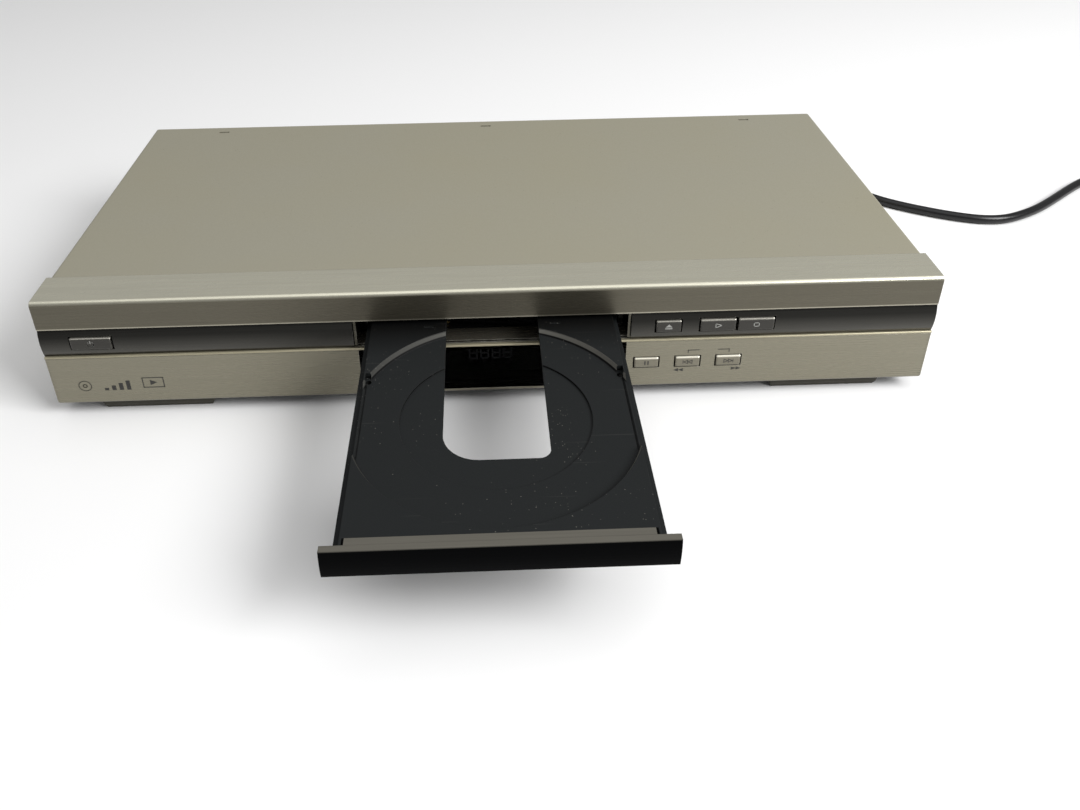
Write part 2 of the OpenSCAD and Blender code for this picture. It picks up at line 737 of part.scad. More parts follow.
tray_rib_in = [34, 22, 10];           // cross ribs, in from the tray's back end
tray_rib_y = [for (d = tray_rib_in) tray_end - d];
tray_rib_t = 1.4;
horn_w = 0.9;                         // strips of the plate beside the shelf
horn_y = door_y + door_t + 0.1;
tray_hole_at = [55.6, 95.2];          // mould holes where the recess meets its straight sides
tray_hole_r = 1.4;
tray_pocket = [[54.4, 94], [57, 98.4]];
groove_in = [1.5, 0.9];               // groove along the straight sides, in from the edge
tray_mark_x = 30;
tray_mark_y = 131;

module disc_tray() {
    color(CHARCOAL) placed() translate(out) {
        difference() {
            union() {
                span([-tray_x, tray_y, tray_top - tray_t], [tray_x, tray_end, tray_top]);
                intersection() {
                    translate([0, spindle_y, tray_low])
                        cylinder(r = recess_r + 3.5, h = tray_top - tray_low, $fn = 96);
                    span([-tray_x, tray_y, tray_low], [tray_x, tray_end, tray_top]);
                }
                for (s = [0, 1]) mirror([s, 0, 0]) {
                    span([tray_x - tray_t, tray_y, rail_low], [tray_x, tray_end, tray_top]);
                    span([tray_x - eps, tray_y + 2, rail_low], [rail_x, tray_end, rail_top]);
                }
                for (s = [0, 1]) mirror([s, 0, 0]) {
                    span([tray_x - horn_w, horn_y, tray_top - tray_t], [tray_x, tray_y + eps, tray_top]);
                    span([tray_x - horn_w, horn_y, rail_low], [rail_x, tray_y + 2 + eps, rail_top]);
                }
                span([-tray_x, tray_y, rail_low], [tray_x, tray_y + tray_t, tray_top]);
                for (x = [slot_x - tray_t, slot_x + slot_w])
                    span([x, spindle_y + 50, tray_low], [x + tray_t, tray_end, tray_top]);
                for (y = tray_rib_y)
                    span([-tray_x, y, tray_low], [tray_x, y + tray_rib_t, tray_top - tray_t + eps]);
            }
            translate([0, spindle_y, recess_z])
                cylinder(r1 = recess_r, r2 = recess_r + recess_slope, h = recess_h + eps, $fn = 96);
            translate([0, spindle_y, recess_z - small_h])
                cylinder(r = small_r, h = small_h + eps, $fn = 96);
            translate([0, 0, rail_low - 1]) linear_extrude(tray_top - rail_low + 2) slot_outline();
            for (s = [-1, 1]) {
                translate([s * tray_hole_at[0], tray_hole_at[1], tray_low - 1])
                    cylinder(r = tray_hole_r, h = 10);
                span([s * tray_mark_x - 2.5, tray_mark_y, tray_top - 0.5],
                    [s * tray_mark_x + 2.5, tray_mark_y + 1.2, tray_top + 1]);
            }
            for (s = [0, 1]) mirror([s, 0, 0]) {
                span(concat(tray_pocket[0], recess_z), concat(tray_pocket[1], tray_top + 1));
                span([tray_x - groove_in[0], spindle_y - 22, recess_z - 0.6],
                    [tray_x - groove_in[1], tray_pocket[0][1] + 1, tray_top + 1]);
            }
        }
        for (s = [0, 1]) mirror([s, 0, 0])
            span([tray_x - 0.6, spindle_y - 24, recess_z - eps], [tray_x, spindle_y + 24, recess_z + 0.5]);
        translate([0, 0, rack_low]) linear_extrude(tray_low - rack_low + eps) rack_outline();
    }
}

door_bow = 0.5;
door_edge = 0.2;

module tray_front() {
    half = (door_top - door_low) / 2 - door_edge;
    r = (pow(half, 2) + pow(door_bow, 2)) / (2 * door_bow);
    swing = asin(half / r);
    bow = arc([door_y + r, (door_top + door_low) / 2], r, 180 - swing, 180 + swing, 8);
    color(CHARCOAL) placed() translate(out) {
        along_x(-door_w / 2, door_w / 2)
            polygon(concat([[door_y + door_t, door_top], [door_y + door_bow + door_edge, door_top]], bow,
                [[door_y + door_bow + door_edge, door_low], [door_y + door_t, door_low]]));
        span([horn_w + 1 - tray_x, door_y + door_t - eps, tray_top - tray_t],
            [tray_x - horn_w - 1, shelf_y, tray_top + 0.5]);
        for (x = [-40, 0, 40])
            span([x - 5, door_y + door_t - eps, tray_low], [x + 5, tray_y, tray_top - tray_t + eps]);
    }
}

// ---- loader -------------------------------------------------------------------------------

guide_y = [22, 92, 160];
guide_l = 12;
motor_r = 12.2;
motor_h = 12;

module loader_frame() {
    ledge_top = rail_low - slip;
    color(BLACK) placed() difference() {
        union() {
            for (s = [0, 1]) mirror([s, 0, 0]) {
                span([wall_x, loader_y, loader_z], [wall_out, loader_end, rail_top + 3]);
                span([wall_x, spindle_y - bridge_d / 2, loader_z],
                    [wall_out, spindle_y + bridge_d / 2, bridge_z]);
                span([tray_x + 0.8, loader_y, ledge_top - 1.5], [wall_x + eps, loader_end, ledge_top]);
                for (y = guide_y)
                    span([tray_x + 0.8, y, rail_top + slip],
                        [wall_x + eps, y + guide_l, rail_top + slip + 1]);
                span([wall_x - 10, shelf_end, loader_z],
                    [wall_x + eps, loader_end, loader_z + loader_foot_t]);
            }
            span([-wall_x - eps, loader_y, shelf_z - 2.5], [wall_x + eps, shelf_end, shelf_z]);
            span([-wall_x - eps, shelf_end - eps, loader_z], [wall_x + eps, shelf_end + 2.8, shelf_z]);
            span([-wall_x - eps, loader_end - 2.5, loader_z], [wall_x + eps, loader_end, rail_low - 2]);
            for (p = [tray_gear_at, pulley_at])
                translate([p[0], p[1], shelf_z - eps])
                    cylinder(r = post_r, h = (p == pulley_at ? gear_z + 4 : gear_top) - shelf_z);
            for (s = [-1, 1])
                span([s * 22 - 3, shelf_end + 2.8 - eps, loader_z],
                    [s * 22 + 3, cam_y + cam_t + slip + 2, loader_z + 3.5]);
        }
        for (s = [-1, 1])
            bar_x(hinge[1], hinge[2], pin_r + fit, s * (wall_x + wall_t / 2) - 3,
                s * (wall_x + wall_t / 2) + 3);
        for (p = loader_holes) translate([p[0], p[1], loader_z - 1]) cylinder(r = screw_r + 0.2, h = 5);
        translate([motor_at[0], motor_at[1], shelf_z - 4]) cylinder(r = 3, h = 6);
        for (s = [-1, 1])
            span([s * 22 - 4, cam_y - slip, loader_z + 2],
                [s * 22 + 4, cam_y + cam_t + slip, loader_z + 4]);
    }
}

module clamp_bridge() {
    color(STEEL) placed() difference() {
        union() {
            span([-wall_out, spindle_y - bridge_d / 2, bridge_z],
                [wall_out, spindle_y + bridge_d / 2, bridge_z + bridge_t]);
            for (y = [spindle_y - bridge_d / 2, spindle_y + bridge_d / 2 - 1.5])
                span([-wall_x + 4, y, bridge_z], [wall_x - 4, y + 1.5, bridge_z + 4]);
        }
        translate([0, spindle_y, bridge_z - 1]) cylinder(r = clamp_r + free, h = bridge_t + 2);
    }
}

module disc_clamper() {
    flange_r = clamp_r + 3;
    color(WHITE) placed() translate([0, spindle_y, 0]) difference() {
        union() {
            translate([0, 0, clamp_z]) cylinder(r = clamp_r, h = bridge_z + bridge_t + 1.6 - clamp_z);
            translate([0, 0, bridge_z + bridge_t + 0.1]) cylinder(r = flange_r, h = 1.5);
        }
        translate([0, 0, clamp_z - 1]) cylinder(r = 8.2, h = 4.4);
    }
}

module loading_motor() {
    color(STEEL) placed() translate([motor_at[0], motor_at[1], shelf_z - 2.5 - motor_h]) difference() {
        cylinder(r = motor_r, h = motor_h);
        translate([0, 0, 2]) cylinder(r = 1 + fit, h = motor_h);
    }
}

// A belt pulley as a revolved outline with a groove for the belt.
module pulley(r, groove, h) {
    rim = (h - belt_t - 0.8) / 2;
    rotate_extrude() polygon([[0, 0], [r, 0], [r, rim], [groove, rim + 0.4],
        [groove, h - rim - 0.4], [r, h - rim], [r, h], [0, h]]);
}

module motor_pulley() {
    color(BRASS) placed() translate([motor_at[0], motor_at[1], pulley_z]) {
        pulley(4.2, motor_groove_r, pulley_h);
        translate([0, 0, -10]) cylinder(r = 1, h = 10 + eps);
    }
}

module belt_path(extra) {
    hull() {
        translate(pulley_at) circle(r = groove_r + extra);
        translate(motor_at) circle(r = motor_groove_r + extra);
    }
}

module drive_belt() {
    color(BLACK) placed() translate([0, 0, pulley_z + pulley_h / 2 - belt_t / 2])
        linear_extrude(belt_t) difference() {
            belt_path(slip + belt_t);
            belt_path(slip);
        }
}

module pulley_gear() {
    phase = pinion_dir + 180 + 180 / pinion_n;
    color(WHITE) placed() translate([pulley_at[0], pulley_at[1], 0]) difference() {
        union() {
            translate([0, 0, pulley_z]) pulley(pulley_r, groove_r, pulley_h);
            translate([0, 0, pulley_z + pulley_h - eps]) linear_extrude(gear_z + 3.8 - pulley_z - pulley_h)
                gear_outline(pinion_n, phase);
        }
        translate([0, 0, pulley_z - 1]) cylinder(r = post_r + fit, h = 20);
    }
}

module tray_gear() {
    color(WHITE) placed() translate([tray_gear_at[0], tray_gear_at[1], 0]) difference() {
        translate([0, 0, gear_z]) linear_extrude(gear_top - gear_z) gear_outline(tray_gear_n);
        translate([0, 0, gear_z - 1]) cylinder(r = post_r + fit, h = 20);
    }
}

cam_half = cam_pin_r + 0.5;
cam_x = [-24, 10];
cam_z = [loader_z + 2.4, hinge[2] + 5];

module cam_slider() {
    low = hinge[2] - cam_rise;
    color(WHITE) placed() difference() {
        span([cam_x[0], cam_y, cam_z[0]], [cam_x[1], cam_y + cam_t, cam_z[1]]);
        along_y(cam_y - 1, cam_y + cam_t + 1) hull() {
            translate([0, low]) circle(r = cam_half, $fn = 24);
            translate([-cam_travel, hinge[2]]) circle(r = cam_half, $fn = 24);
        }
    }
}

// ---- deck ---------------------------------------------------------------------------------

// The deck is drawn raised and hung down at rest, about its hinge.
module dropped() {
    translate(hinge) rotate([deck_drop, 0, 0]) translate(-hinge) children();
}

spindle_can_r = 12;
lens_y = spindle_y + 24;
sled_motor_y = [66, 84];

module optical_deck() {
    color(BLACK) placed() dropped() difference() {
        union() {
            span([-deck_x, deck_y, plate_z], [deck_x, deck_end, plate_top]);
            span([-ear_x, deck_open_end, plate_z], [ear_x, deck_end, plate_top]);
            for (s = [0, 1]) mirror([s, 0, 0]) {
                span([deck_x - 2, deck_y, plate_z - 5], [deck_x, deck_open_end, plate_z + eps]);
                bar_x(hinge[1], hinge[2], 4, ear_x - 6, ear_x);
                bar_x(hinge[1], hinge[2], pin_r, ear_x - 1, wall_out - 0.3);
                for (y = [deck_open_y - 4, deck_open_end - 4])
                    span([rod_x - 3, y, plate_top - eps], [rod_x + 2.6, y + 4, rod_z + 2.2]);
            }
            bar_y(0, hinge[2], cam_pin_r, cam_y - 0.1, deck_y + 1);
            span([screw_x - 2.5, deck_open_end - 8, plate_top - eps],
                [screw_x + 2.5, deck_open_end - 4.5, rod_z + 2.2]);
        }
        span([-deck_open_x, deck_open_y, plate_z - 1], [deck_open_x, deck_open_end, plate_top + 1]);
        translate([0, spindle_y, plate_z - 1]) cylinder(r = 4, h = plate_t + 2);
        span([screw_x - 4.4, sled_motor_y[0] - 0.3, plate_z - 1],
            [screw_x + 4.4, sled_motor_y[1] + 0.3, plate_top + 1]);
        for (s = [-1, 1]) bar_y(s * rod_x, rod_z, rod_r, deck_open_y - 6, deck_open_end + 2);
        bar_y(screw_x, rod_z, rod_r + fit, deck_open_end - 9, deck_open_end - 4);
    }
}

module spindle_motor() {
    color(STEEL) placed() dropped() translate([0, spindle_y, plate_z - 7]) difference() {
        cylinder(r = spindle_can_r, h = 7);
        translate([0, 0, 2]) cylinder(r = 1 + fit, h = 8);
    }
}

platform_z = play_z - 0.3;

module turntable() {
    color(BLACK) placed() dropped() translate([0, spindle_y, 0]) {
        translate([0, 0, platform_z - 2.4]) cylinder(r = turntable_r, h = 2.4);
        translate([0, 0, platform_z - eps]) cylinder(r1 = 7.4, r2 = 6.2, h = 2.3);
        translate([0, 0, plate_top + 1]) cylinder(r = 6, h = platform_z - plate_top - 2);
        translate([0, 0, plate_z - 4.5]) cylinder(r = 1, h = plate_t + 7);
    }
}

module turntable_ring() {
    color(CHARCOAL) placed() dropped() translate([0, spindle_y, platform_z]) difference() {
        cylinder(r = turntable_r - 0.6, h = 0.3);
        translate([0, 0, -1]) cylinder(r = 11, h = 3);
    }
}

module guide_rods() {
    color(STEEL) placed() dropped() for (s = [-1, 1])
        bar_y(s * rod_x, rod_z, rod_r, deck_open_y - 4, deck_open_end);
}

module sled_motor() {
    color(STEEL) placed() dropped() difference() {
        bar_y(screw_x, rod_z, 4, sled_motor_y[0], sled_motor_y[1]);
        bar_y(screw_x, rod_z, rod_r + fit, sled_motor_y[1] - 10, sled_motor_y[1] + 1);
    }
}

module lead_screw() {
    color(BRASS) placed() dropped()
        bar_y(screw_x, rod_z, rod_r, sled_motor_y[1] - 8, deck_open_end - 4.6);
}

module pickup() {
    color(GUNMETAL) placed() dropped() difference() {
        union() {
            span([-24, sled_y[0], plate_z - 4], [24, sled_y[1], tray_low - 1.2]);
            span([-14, sled_y[0] + 1, plate_top], [14, sled_y[0] + 22, play_z - 3]);
            for (y = [sled_y[0] + 1, sled_y[1] - 10])
                span([-rod_x - 3.2, y, plate_top + 0.4], [-20, y + 9, rod_z + 2.4]);
            span([20, sled_y[0] + 10, plate_top + 0.4], [screw_x + 2.6, sled_y[0] + 22, rod_z + 2.4]);
        }
        bar_y(-rod_x, rod_z, rod_r + fit, sled_y[0] - 1, sled_y[1] + 1);
        bar_y(rod_x, rod_z, rod_r + fit, sled_y[0] - 1, sled_y[1] + 1);
        bar_y(screw_x, rod_z, rod_r + fit, sled_y[0] - 1, sled_y[1] + 1);
        translate([0, lens_y, play_z - 4]) cylinder(r = 4, h = 3);
    }
}

module objective_lens() {
    color([0.5, 0.6, 0.75]) placed() dropped() translate([0, lens_y, play_z - 4]) {
        cylinder(r = 3.8, h = 1.6);
        intersection() {
            cylinder(r = 3, h = 4);
            translate([0, 0, -2.4]) sphere(r = 5.4);
        }
    }
}

// ---- boards -------------------------------------------------------------------------------

module main_board() {
    color(GREEN) placed() difference() {
        span([main_board_x[0], board_y[0], board_z], [main_board_x[1], board_y[1], board_z + board_t]);
        for (p = main_holes) translate([p[0], p[1], board_z - 1]) cylinder(r = screw_r, h = 5);
    }
}

module board_chips() {
    top = board_z + board_t;
    color(BLACK) placed() {
        span([-150, 95, top], [-122, 123, top + 3.4]);
        span([-112, 88, top], [-94, 100, top + 2]);
        span([-112, 108, top], [-94, 120, top + 2]);
        span([-186, 90, top], [-170, 112, top + 2.4]);
        span([-184, 126, top], [-172, 134, top + 2]);
    }
}

module power_board() {
    color([0.55, 0.42, 0.2]) placed() difference() {
        span([power_board_x[0], board_y[0], board_z], [power_board_x[1], board_y[1], board_z + board_t]);
        for (p = power_holes) translate([p[0], p[1], board_z - 1]) cylinder(r = screw_r, h = 5);
    }
}

module transformer() {
    top = board_z + board_t;
    color([0.75, 0.6, 0.2]) placed() translate([140, 125, top]) {
        span([-16, -14, 0], [16, 14, 3]);
        translate([0, 0, 3 - eps]) linear_extrude(17) rounded(21, 27, 4, 4);
        span([-12, -14, 19.5], [12, 14, 21]);
        span([-16, -7, 3 - eps], [16, 7, 24]);
    }
}

can_groove = [2, 1.1, 0.5];           // rolled groove: its height up the can, width and depth

module capacitors() {
    top = board_z + board_t;
    color(BLACK) placed()
        for (c = [[180, 150, 11, 30], [112, 90, 6, 18], [126, 88, 5, 15], [98, 92, 6, 18]])
        translate([c[0], c[1], top]) {
            cylinder(r = c[2], h = can_groove[0]);
            translate([0, 0, can_groove[0] - eps])
                cylinder(r = c[2] - can_groove[2], h = 2 * can_groove[1]);
            translate([0, 0, can_groove[0] + can_groove[1]])
                cylinder(r = c[2], h = c[3] - can_groove[0] - can_groove[1]);
        }
}

module heat_sink() {
    top = board_z + board_t;
    color(STEEL) placed() translate([150, 90, top]) {
        span([0, 0, 0], [36, 2, 28]);
        for (i = [0 : 6]) span([i * 5.6, 2 - eps, 0], [i * 5.6 + 1.4, 12, 28]);
    }
}

module jack_block() {
    color(BLACK) placed() {
        for (g = [[jack_x[0], jack_x[2]], [jack_x[3], jack_x[4]]])
            difference() {
                span([g[0] - 6.5, rear_in - 14, board_z + board_t],
                    [g[1] + 6.5, rear_in, jack_rows[1] + 7]);
                for (p = jack_screws) bar_y(p[0], p[1], screw_r, rear_in - 6, rear_in + 1);
            }
        difference() {
            span([svideo_x - 7.5, rear_in - 14, board_z + board_t],
                [svideo_x + 7.5, rear_in, jack_rows[0] + 10]);
            bar_y(svideo_x, jack_rows[0] + 1, 4.5, rear_in - 8, rear_in + 1);
        }
    }
}

module jack_pins() {
    color(BRASS) placed() for (x = jack_x, z = jack_rows) difference() {
        union() {
            bar_y(x, z, jack_neck_r, rear_in, rear_y + eps);
            bar_y(x, z, jack_r, rear_y, jack_end);
        }
        bar_y(x, z, 1.6, rear_in + 1, jack_end + 1);
    }
}

module flat_cable() {
    t = 0.4;
    z0 = floor_z + 0.8;
    top = board_z + board_t + 0.3;
    color(WHITE) placed() along_y(84, 100)
        polygon([[-90, top], [-71, top], [-70, top - 1], [-70, z0 + 1], [-69, z0], [-66, z0],
            [-66, z0 + t], [-68.6, z0 + t], [-69.6, z0 + 1.2], [-69.6, top], [-70.8, top + t],
            [-90, top + t]]);
}

// ---- cord ---------------------------------------------------------------------------------

cord_r = cord_d / 2;

module cord_relief() {
    color(BLACK) placed() translate([gland[0], rear_y, gland[2]]) rotate([-90, 0, 0]) difference() {
        union() {
            cylinder(r = 7, h = 3);
            translate([0, 0, -pan_t - 3]) cylinder(r = 4.8, h = pan_t + 4);
            translate([0, 0, 3 - eps]) cylinder(r1 = 6, r2 = cord_r + 0.9, h = relief_l - 3);
        }
        translate([0, 0, -8]) cylinder(r = cord_r - 1, h = relief_l + 8 - 1);
    }
}

function unit(v) = v / norm(v);

// Catmull-Rom: points on the smooth line through p[0] .. p[last], steps to each stretch.
function smooth_route(p, steps) =
    let (last = len(p) - 1)
    concat([for (i = [0 : last - 1], j = [0 : steps - 1])
        let (a = p[max(i - 1, 0)], b = p[i], c = p[i + 1], d = p[min(i + 2, last)], t = j / steps)
        (2 * b + (c - a) * t + (2 * a - 5 * b + 4 * c - d) * t * t
            + (3 * b - a - 3 * c + d) * t * t * t) / 2], [p[last]]);

function ring(centre, heading, r, sides) =
    let (side = unit(cross(heading, [0, 0, 1])), up = cross(side, heading))
    [for (k = [0 : sides - 1]) centre + r * (cos(360 * k / sides) * side + sin(360 * k / sides) * up)];

module tube(route, r, sides) {
    last = len(route) - 1;
    heading = [for (i = [0 : last]) i == 0 ? [0, 1, 0]
        : unit(route[min(i + 1, last)] - route[i - 1])];
    points = [for (i = [0 : last]) each ring(route[i], heading[i], r, sides)];
    walls = [for (i = [0 : last - 1], k = [0 : sides - 1]) each let (n = (k + 1) % sides) [
        [i * sides + k, i * sides + n, (i + 1) * sides + n],
        [i * sides + k, (i + 1) * sides + n, (i + 1) * sides + k]]];
    caps = [[for (k = [sides - 1 : -1 : 0]) k], [for (k = [0 : sides - 1]) last * sides + k]];
    polyhedron(points, concat(walls, caps));
}

module power_cord() {
    route = concat([[gland[0], rear_y + relief_l, gland[2]]],
        [for (i = [1 : len(cord_route) - 1]) cord_route[i]]);
    color(BLACK) placed() {
        tube(smooth_route(route, 2), cord_r, 8);
        tube(plug_lead, cord_r, 8);
    }
}

module cord_coil() {
    color(BLACK) placed() translate([coil_at[0], coil_at[1], 0]) rotate_extrude($fn = 64)
        translate([coil_r, coil_section[1] / 2]) rounded(coil_section[0], coil_section[1], 4);
}

module coil_tie() {
    w = coil_section[0] / 2 + 0.3;
    h = coil_section[1] + 0.3;
    color(BLACK) placed() translate([coil_at[0] - coil_r, coil_at[1], 0]) along_y(-2, 2) difference() {
        translate([0, h / 2 + 0.5]) rounded(2 * w + 2, h + 1, 3);
        translate([0, h / 2 - 2]) rounded(2 * w, h + 4, 3);
    }
}

module plug_body() {
    color(BLACK) placed() translate([plug_at[0], plug_at[1], plug_h / 2]) {
        rotate([90, 0, 0]) linear_extrude(plug_l) rounded(26, plug_h, 5);
        rotate([-90, 0, 0]) cylinder(r1 = 5, r2 = cord_r + 0.6, h = 18);
    }
}

module plug_pins() {
    color(BRASS) placed() for (s = [-1, 1])
        bar_y(plug_at[0] + s * 9.5 * 0.97, plug_h / 2, 2, plug_at[1] - plug_l - 19, plug_at[1] - plug_l);
}

top_cover();
front_bezel();
left_band();
right_band();
trim_strip();
display_window();
display_tube();
display_board();
key_board();
key_switches();
power_key();
eject_key();
play_key();
stop_key();
pause_key();
skip_back_key();
skip_forward_key();
base_pan();
rear_panel();
front_feet();
rear_feet();
disc_tray();
tray_front();
loader_frame();
clamp_bridge();
disc_clamper();
loading_motor();
motor_pulley();
drive_belt();
pulley_gear();
tray_gear();
cam_slider();
optical_deck();
spindle_motor();
turntable();
turntable_ring();
guide_rods();
lead_screw();
sled_motor();
pickup();
objective_lens();
main_board();
board_chips();
power_board();
transformer();
capacitors();
heat_sink();
jack_block();
jack_pins();
flat_cable();
cover_screws();
inner_screws();
cord_relief();
power_cord();
cord_coil();
coil_tie();
plug_body();
plug_pins();
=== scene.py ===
"""Disc player with its tray out: finishes, printed marks, cord and studio around the fixed CAD frame."""
import logging
import math
from dataclasses import dataclass
from enum import Enum
from functools import cached_property

import bpy
import numpy as np
from mathutils import Matrix, Vector


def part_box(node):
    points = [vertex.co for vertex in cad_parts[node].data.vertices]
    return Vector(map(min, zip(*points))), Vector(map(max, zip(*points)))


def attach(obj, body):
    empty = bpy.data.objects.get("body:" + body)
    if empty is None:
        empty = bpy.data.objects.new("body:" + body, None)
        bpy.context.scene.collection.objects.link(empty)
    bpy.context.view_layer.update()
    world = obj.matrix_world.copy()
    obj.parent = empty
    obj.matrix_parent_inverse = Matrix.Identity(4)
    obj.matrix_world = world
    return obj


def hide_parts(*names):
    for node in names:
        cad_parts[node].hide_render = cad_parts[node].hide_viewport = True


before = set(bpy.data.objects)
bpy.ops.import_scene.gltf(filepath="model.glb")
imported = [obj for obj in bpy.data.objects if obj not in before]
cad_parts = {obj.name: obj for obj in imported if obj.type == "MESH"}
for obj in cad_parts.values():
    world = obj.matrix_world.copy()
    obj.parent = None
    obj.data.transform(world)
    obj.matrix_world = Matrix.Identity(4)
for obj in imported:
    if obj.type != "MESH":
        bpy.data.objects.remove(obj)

log = logging.getLogger("disc_player")
Array = np.ndarray
Flat = tuple[float, float]
Flats = tuple[Flat, ...]
Point = Colour = tuple[float, float, float]
Box = tuple[float, float, float, float]  # lower left corner, then upper right corner
Shape = tuple[Array, list[list[int]]]  # points (n, 3) and the corner numbers of each face
Tree, Node, Socket = bpy.types.NodeTree, bpy.types.Node, bpy.types.NodeSocket
Feed = float | tuple[float, ...] | Socket | None
MM = 0.001
ROW_Y = -34.4  # millimetres from the front face's frame to the row's origin


def place(points: Array) -> Array:
    """Points (n, 3) in millimetres from the front face's frame, moved to the row frame in metres."""
    return (np.asarray(points, float) + [0, ROW_Y, 0]) * MM


def smoothstep(t: Array, low: float, high: float) -> Array:
    """Rise from 0 at low to 1 at high along 3s squared minus 2s cubed."""
    s = np.clip((t - low) / (high - low), 0, 1)
    return s * s * (3 - 2 * s)


def catmull(points: Array, steps: int) -> Array:
    """Smooth line through the given points.

    Args:
        points: Array (n, 3) of the points it passes.
        steps: Number of samples on each stretch.

    Returns:
        Array of samples of the Catmull-Rom cubic, whose slope at each point is half the step from
        the point before it to the point after it.
    """
    p = np.asarray(points, float)
    q = np.vstack([p[:1], p, p[-1:]])
    t = np.linspace(0, 1, steps, endpoint=False)[None, :, None]
    a, b, c, d = (q[i : len(q) - 3 + i, None, :] for i in range(4))
    line = (2 * b + (c - a) * t + (2 * a - 5 * b + 4 * c - d) * t**2 + (3 * b - a - 3 * c + d) * t**3) / 2
    return np.vstack([line.reshape(-1, 3), p[-1:]])


def make_object(name: str, points: Array, faces: list[list[int]], smooth: bool = False) -> bpy.types.Object:
    """Put points and faces into a new mesh object at the origin.

    Args:
        name: Name of the piece.
        points: Array (n, 3) in the row frame, in metres.
        faces: Corner numbers of each face, seen anticlockwise from outside.
        smooth: Whether its faces are shaded smooth.

    Returns:
        The linked object.
    """
    mesh = bpy.data.meshes.new(name)
    mesh.from_pydata(points.tolist(), [], faces)
    mesh.update()
    mesh.shade_smooth() if smooth else mesh.shade_flat()
    piece = bpy.data.objects.new(name, mesh)
    bpy.context.scene.collection.objects.link(piece)
    return piece


def quads(rings: int, sides: int, closed: bool) -> list[list[int]]:
    """Quads between rings of points that are stored one ring after another.

    Args:
        rings: Number of rings.
        sides: Number of points on a ring.
        closed: Whether the last ring meets the first.

    Returns:
        Four corner numbers for each quad: two neighbours on a ring and the same two of the next.
    """
    ring, side = np.meshgrid(np.arange(rings if closed else rings - 1), np.arange(sides), indexing="ij")
    here, there, beside = ring * sides, (ring + 1) % rings * sides, (side + 1) % sides
    return np.stack([there + side, there + beside, here + beside, here + side], -1).reshape(-1, 4).tolist()


def tube(path: Array, radius: float, sides: int) -> Shape:
    """Round tube along a path that never runs straight up.

    Args:
        path: Array (n, 3) of ring centres.
        radius: Radius of the tube.
        sides: Points on a ring.

    Returns:
        Points centre + radius (cos a * side + sin a * up), with side level and square to the
        heading, and the quads between rings with a closing face at each end.
    """
    heading = np.gradient(path, axis=0)
    side = np.cross(heading, [0, 0, 1])
    side /= np.linalg.norm(side, axis=1, keepdims=True)
    up = np.cross(side, heading / np.linalg.norm(heading, axis=1, keepdims=True))
    a = np.linspace(0, 2 * np.pi, sides, endpoint=False)[None, :, None]
    points = path[:, None] + radius * (np.cos(a) * side[:, None] + np.sin(a) * up[:, None])
    last = (len(path) - 1) * sides
    ends = [list(range(sides)), list(range(last + sides - 1, last - 1, -1))]
    return points.reshape(-1, 3), quads(len(path), sides, closed=False) + ends


def revolve(profile: Array, sides: int) -> Shape:
    """Turned surface: a closed profile carried round the y axis.

    Args:
        profile: Array (n, 2) of radius and height along y, a closed loop.
        sides: Steps round the axis.

    Returns:
        Points (radius cos a, height, minus radius sin a) and the quads between them.
    """
    a = np.linspace(0, 2 * np.pi, sides, endpoint=False)[:, None]
    radius, height = profile.T
    points = np.stack([radius * np.cos(a), np.tile(height, (sides, 1)), -radius * np.sin(a)], -1)
    return points.reshape(-1, 3), quads(sides, len(profile), closed=True)


class Facing(Enum):
    """Which way a flat mark faces: where its right-hand side points, and its outward normal."""

    FRONT = ((1, 0, 0), (0, -1, 0))
    REAR = ((-1, 0, 0), (0, 1, 0))
    LEFT = ((0, -1, 0), (-1, 0, 0))
    RIGHT = ((0, 1, 0), (1, 0, 0))


def plates(outlines: list[Array], level: float, thick: float, facing: Facing) -> Shape:
    """Thin flat prisms for printed marks.

    Args:
        outlines: Convex outlines as arrays (n, 2), anticlockwise as seen from outside.
        level: Where the marked surface lies on the axis of its normal.
        thick: How far the print stands proud; the same again is sunk in.
        facing: Which way the marks face.

    Returns:
        Points and faces: each outline, its first number times right plus its second times up, lies
        once behind the level and once before it by the thickness, and the two are joined.
    """
    right, normal = np.array(facing.value)
    points, faces, start = [], [], 0
    for line in outlines:
        n = len(line)
        flat = line @ np.array([right, [0, 0, 1]]) + level * np.abs(normal)
        points += [flat - thick * normal, flat + thick * normal]
        i = start + np.arange(n)
        j = start + np.arange(1, n + 1) % n
        faces += [(i + n).tolist(), i[::-1].tolist()] + np.stack([i, j, j + n, i + n], -1).tolist()
        start += 2 * n
    return np.vstack(points), faces


def bar(x0: float, z0: float, x1: float, z1: float) -> Array:
    """Outline of an upright rectangle between two corners."""
    return np.array([[x0, z0], [x1, z0], [x1, z1], [x0, z1]], float)


def stroke(a: Flat | Array, b: Flat | Array, width: float) -> Array:
    """Outline of a straight line.

    Args:
        a: Where it starts.
        b: Where it ends.
        width: Its width; both ends run on by half of it.

    Returns:
        The four corners: a and b run on along the line, each half a width to either side.
    """
    p, q = np.array(a, float), np.array(b, float)
    run = (q - p) / np.linalg.norm(q - p) * width / 2
    side = np.array([-run[1], run[0]])
    p, q = p - run, q + run
    return np.array([p - side, q - side, q + side, p + side])


def loop(corners: Array | list[Flat], width: float) -> list[Array]:
    """Strokes along each side of a closed outline."""
    return [stroke(a, b, width) for a, b in zip(corners, np.roll(corners, -1, axis=0))]


def disc(x: float, z: float, radius: float, sides: int = 16) -> Array:
    """Outline of a round dot."""
    a = np.linspace(0, 2 * np.pi, sides, endpoint=False)
    return np.stack([x + radius * np.cos(a), z + radius * np.sin(a)], -1)


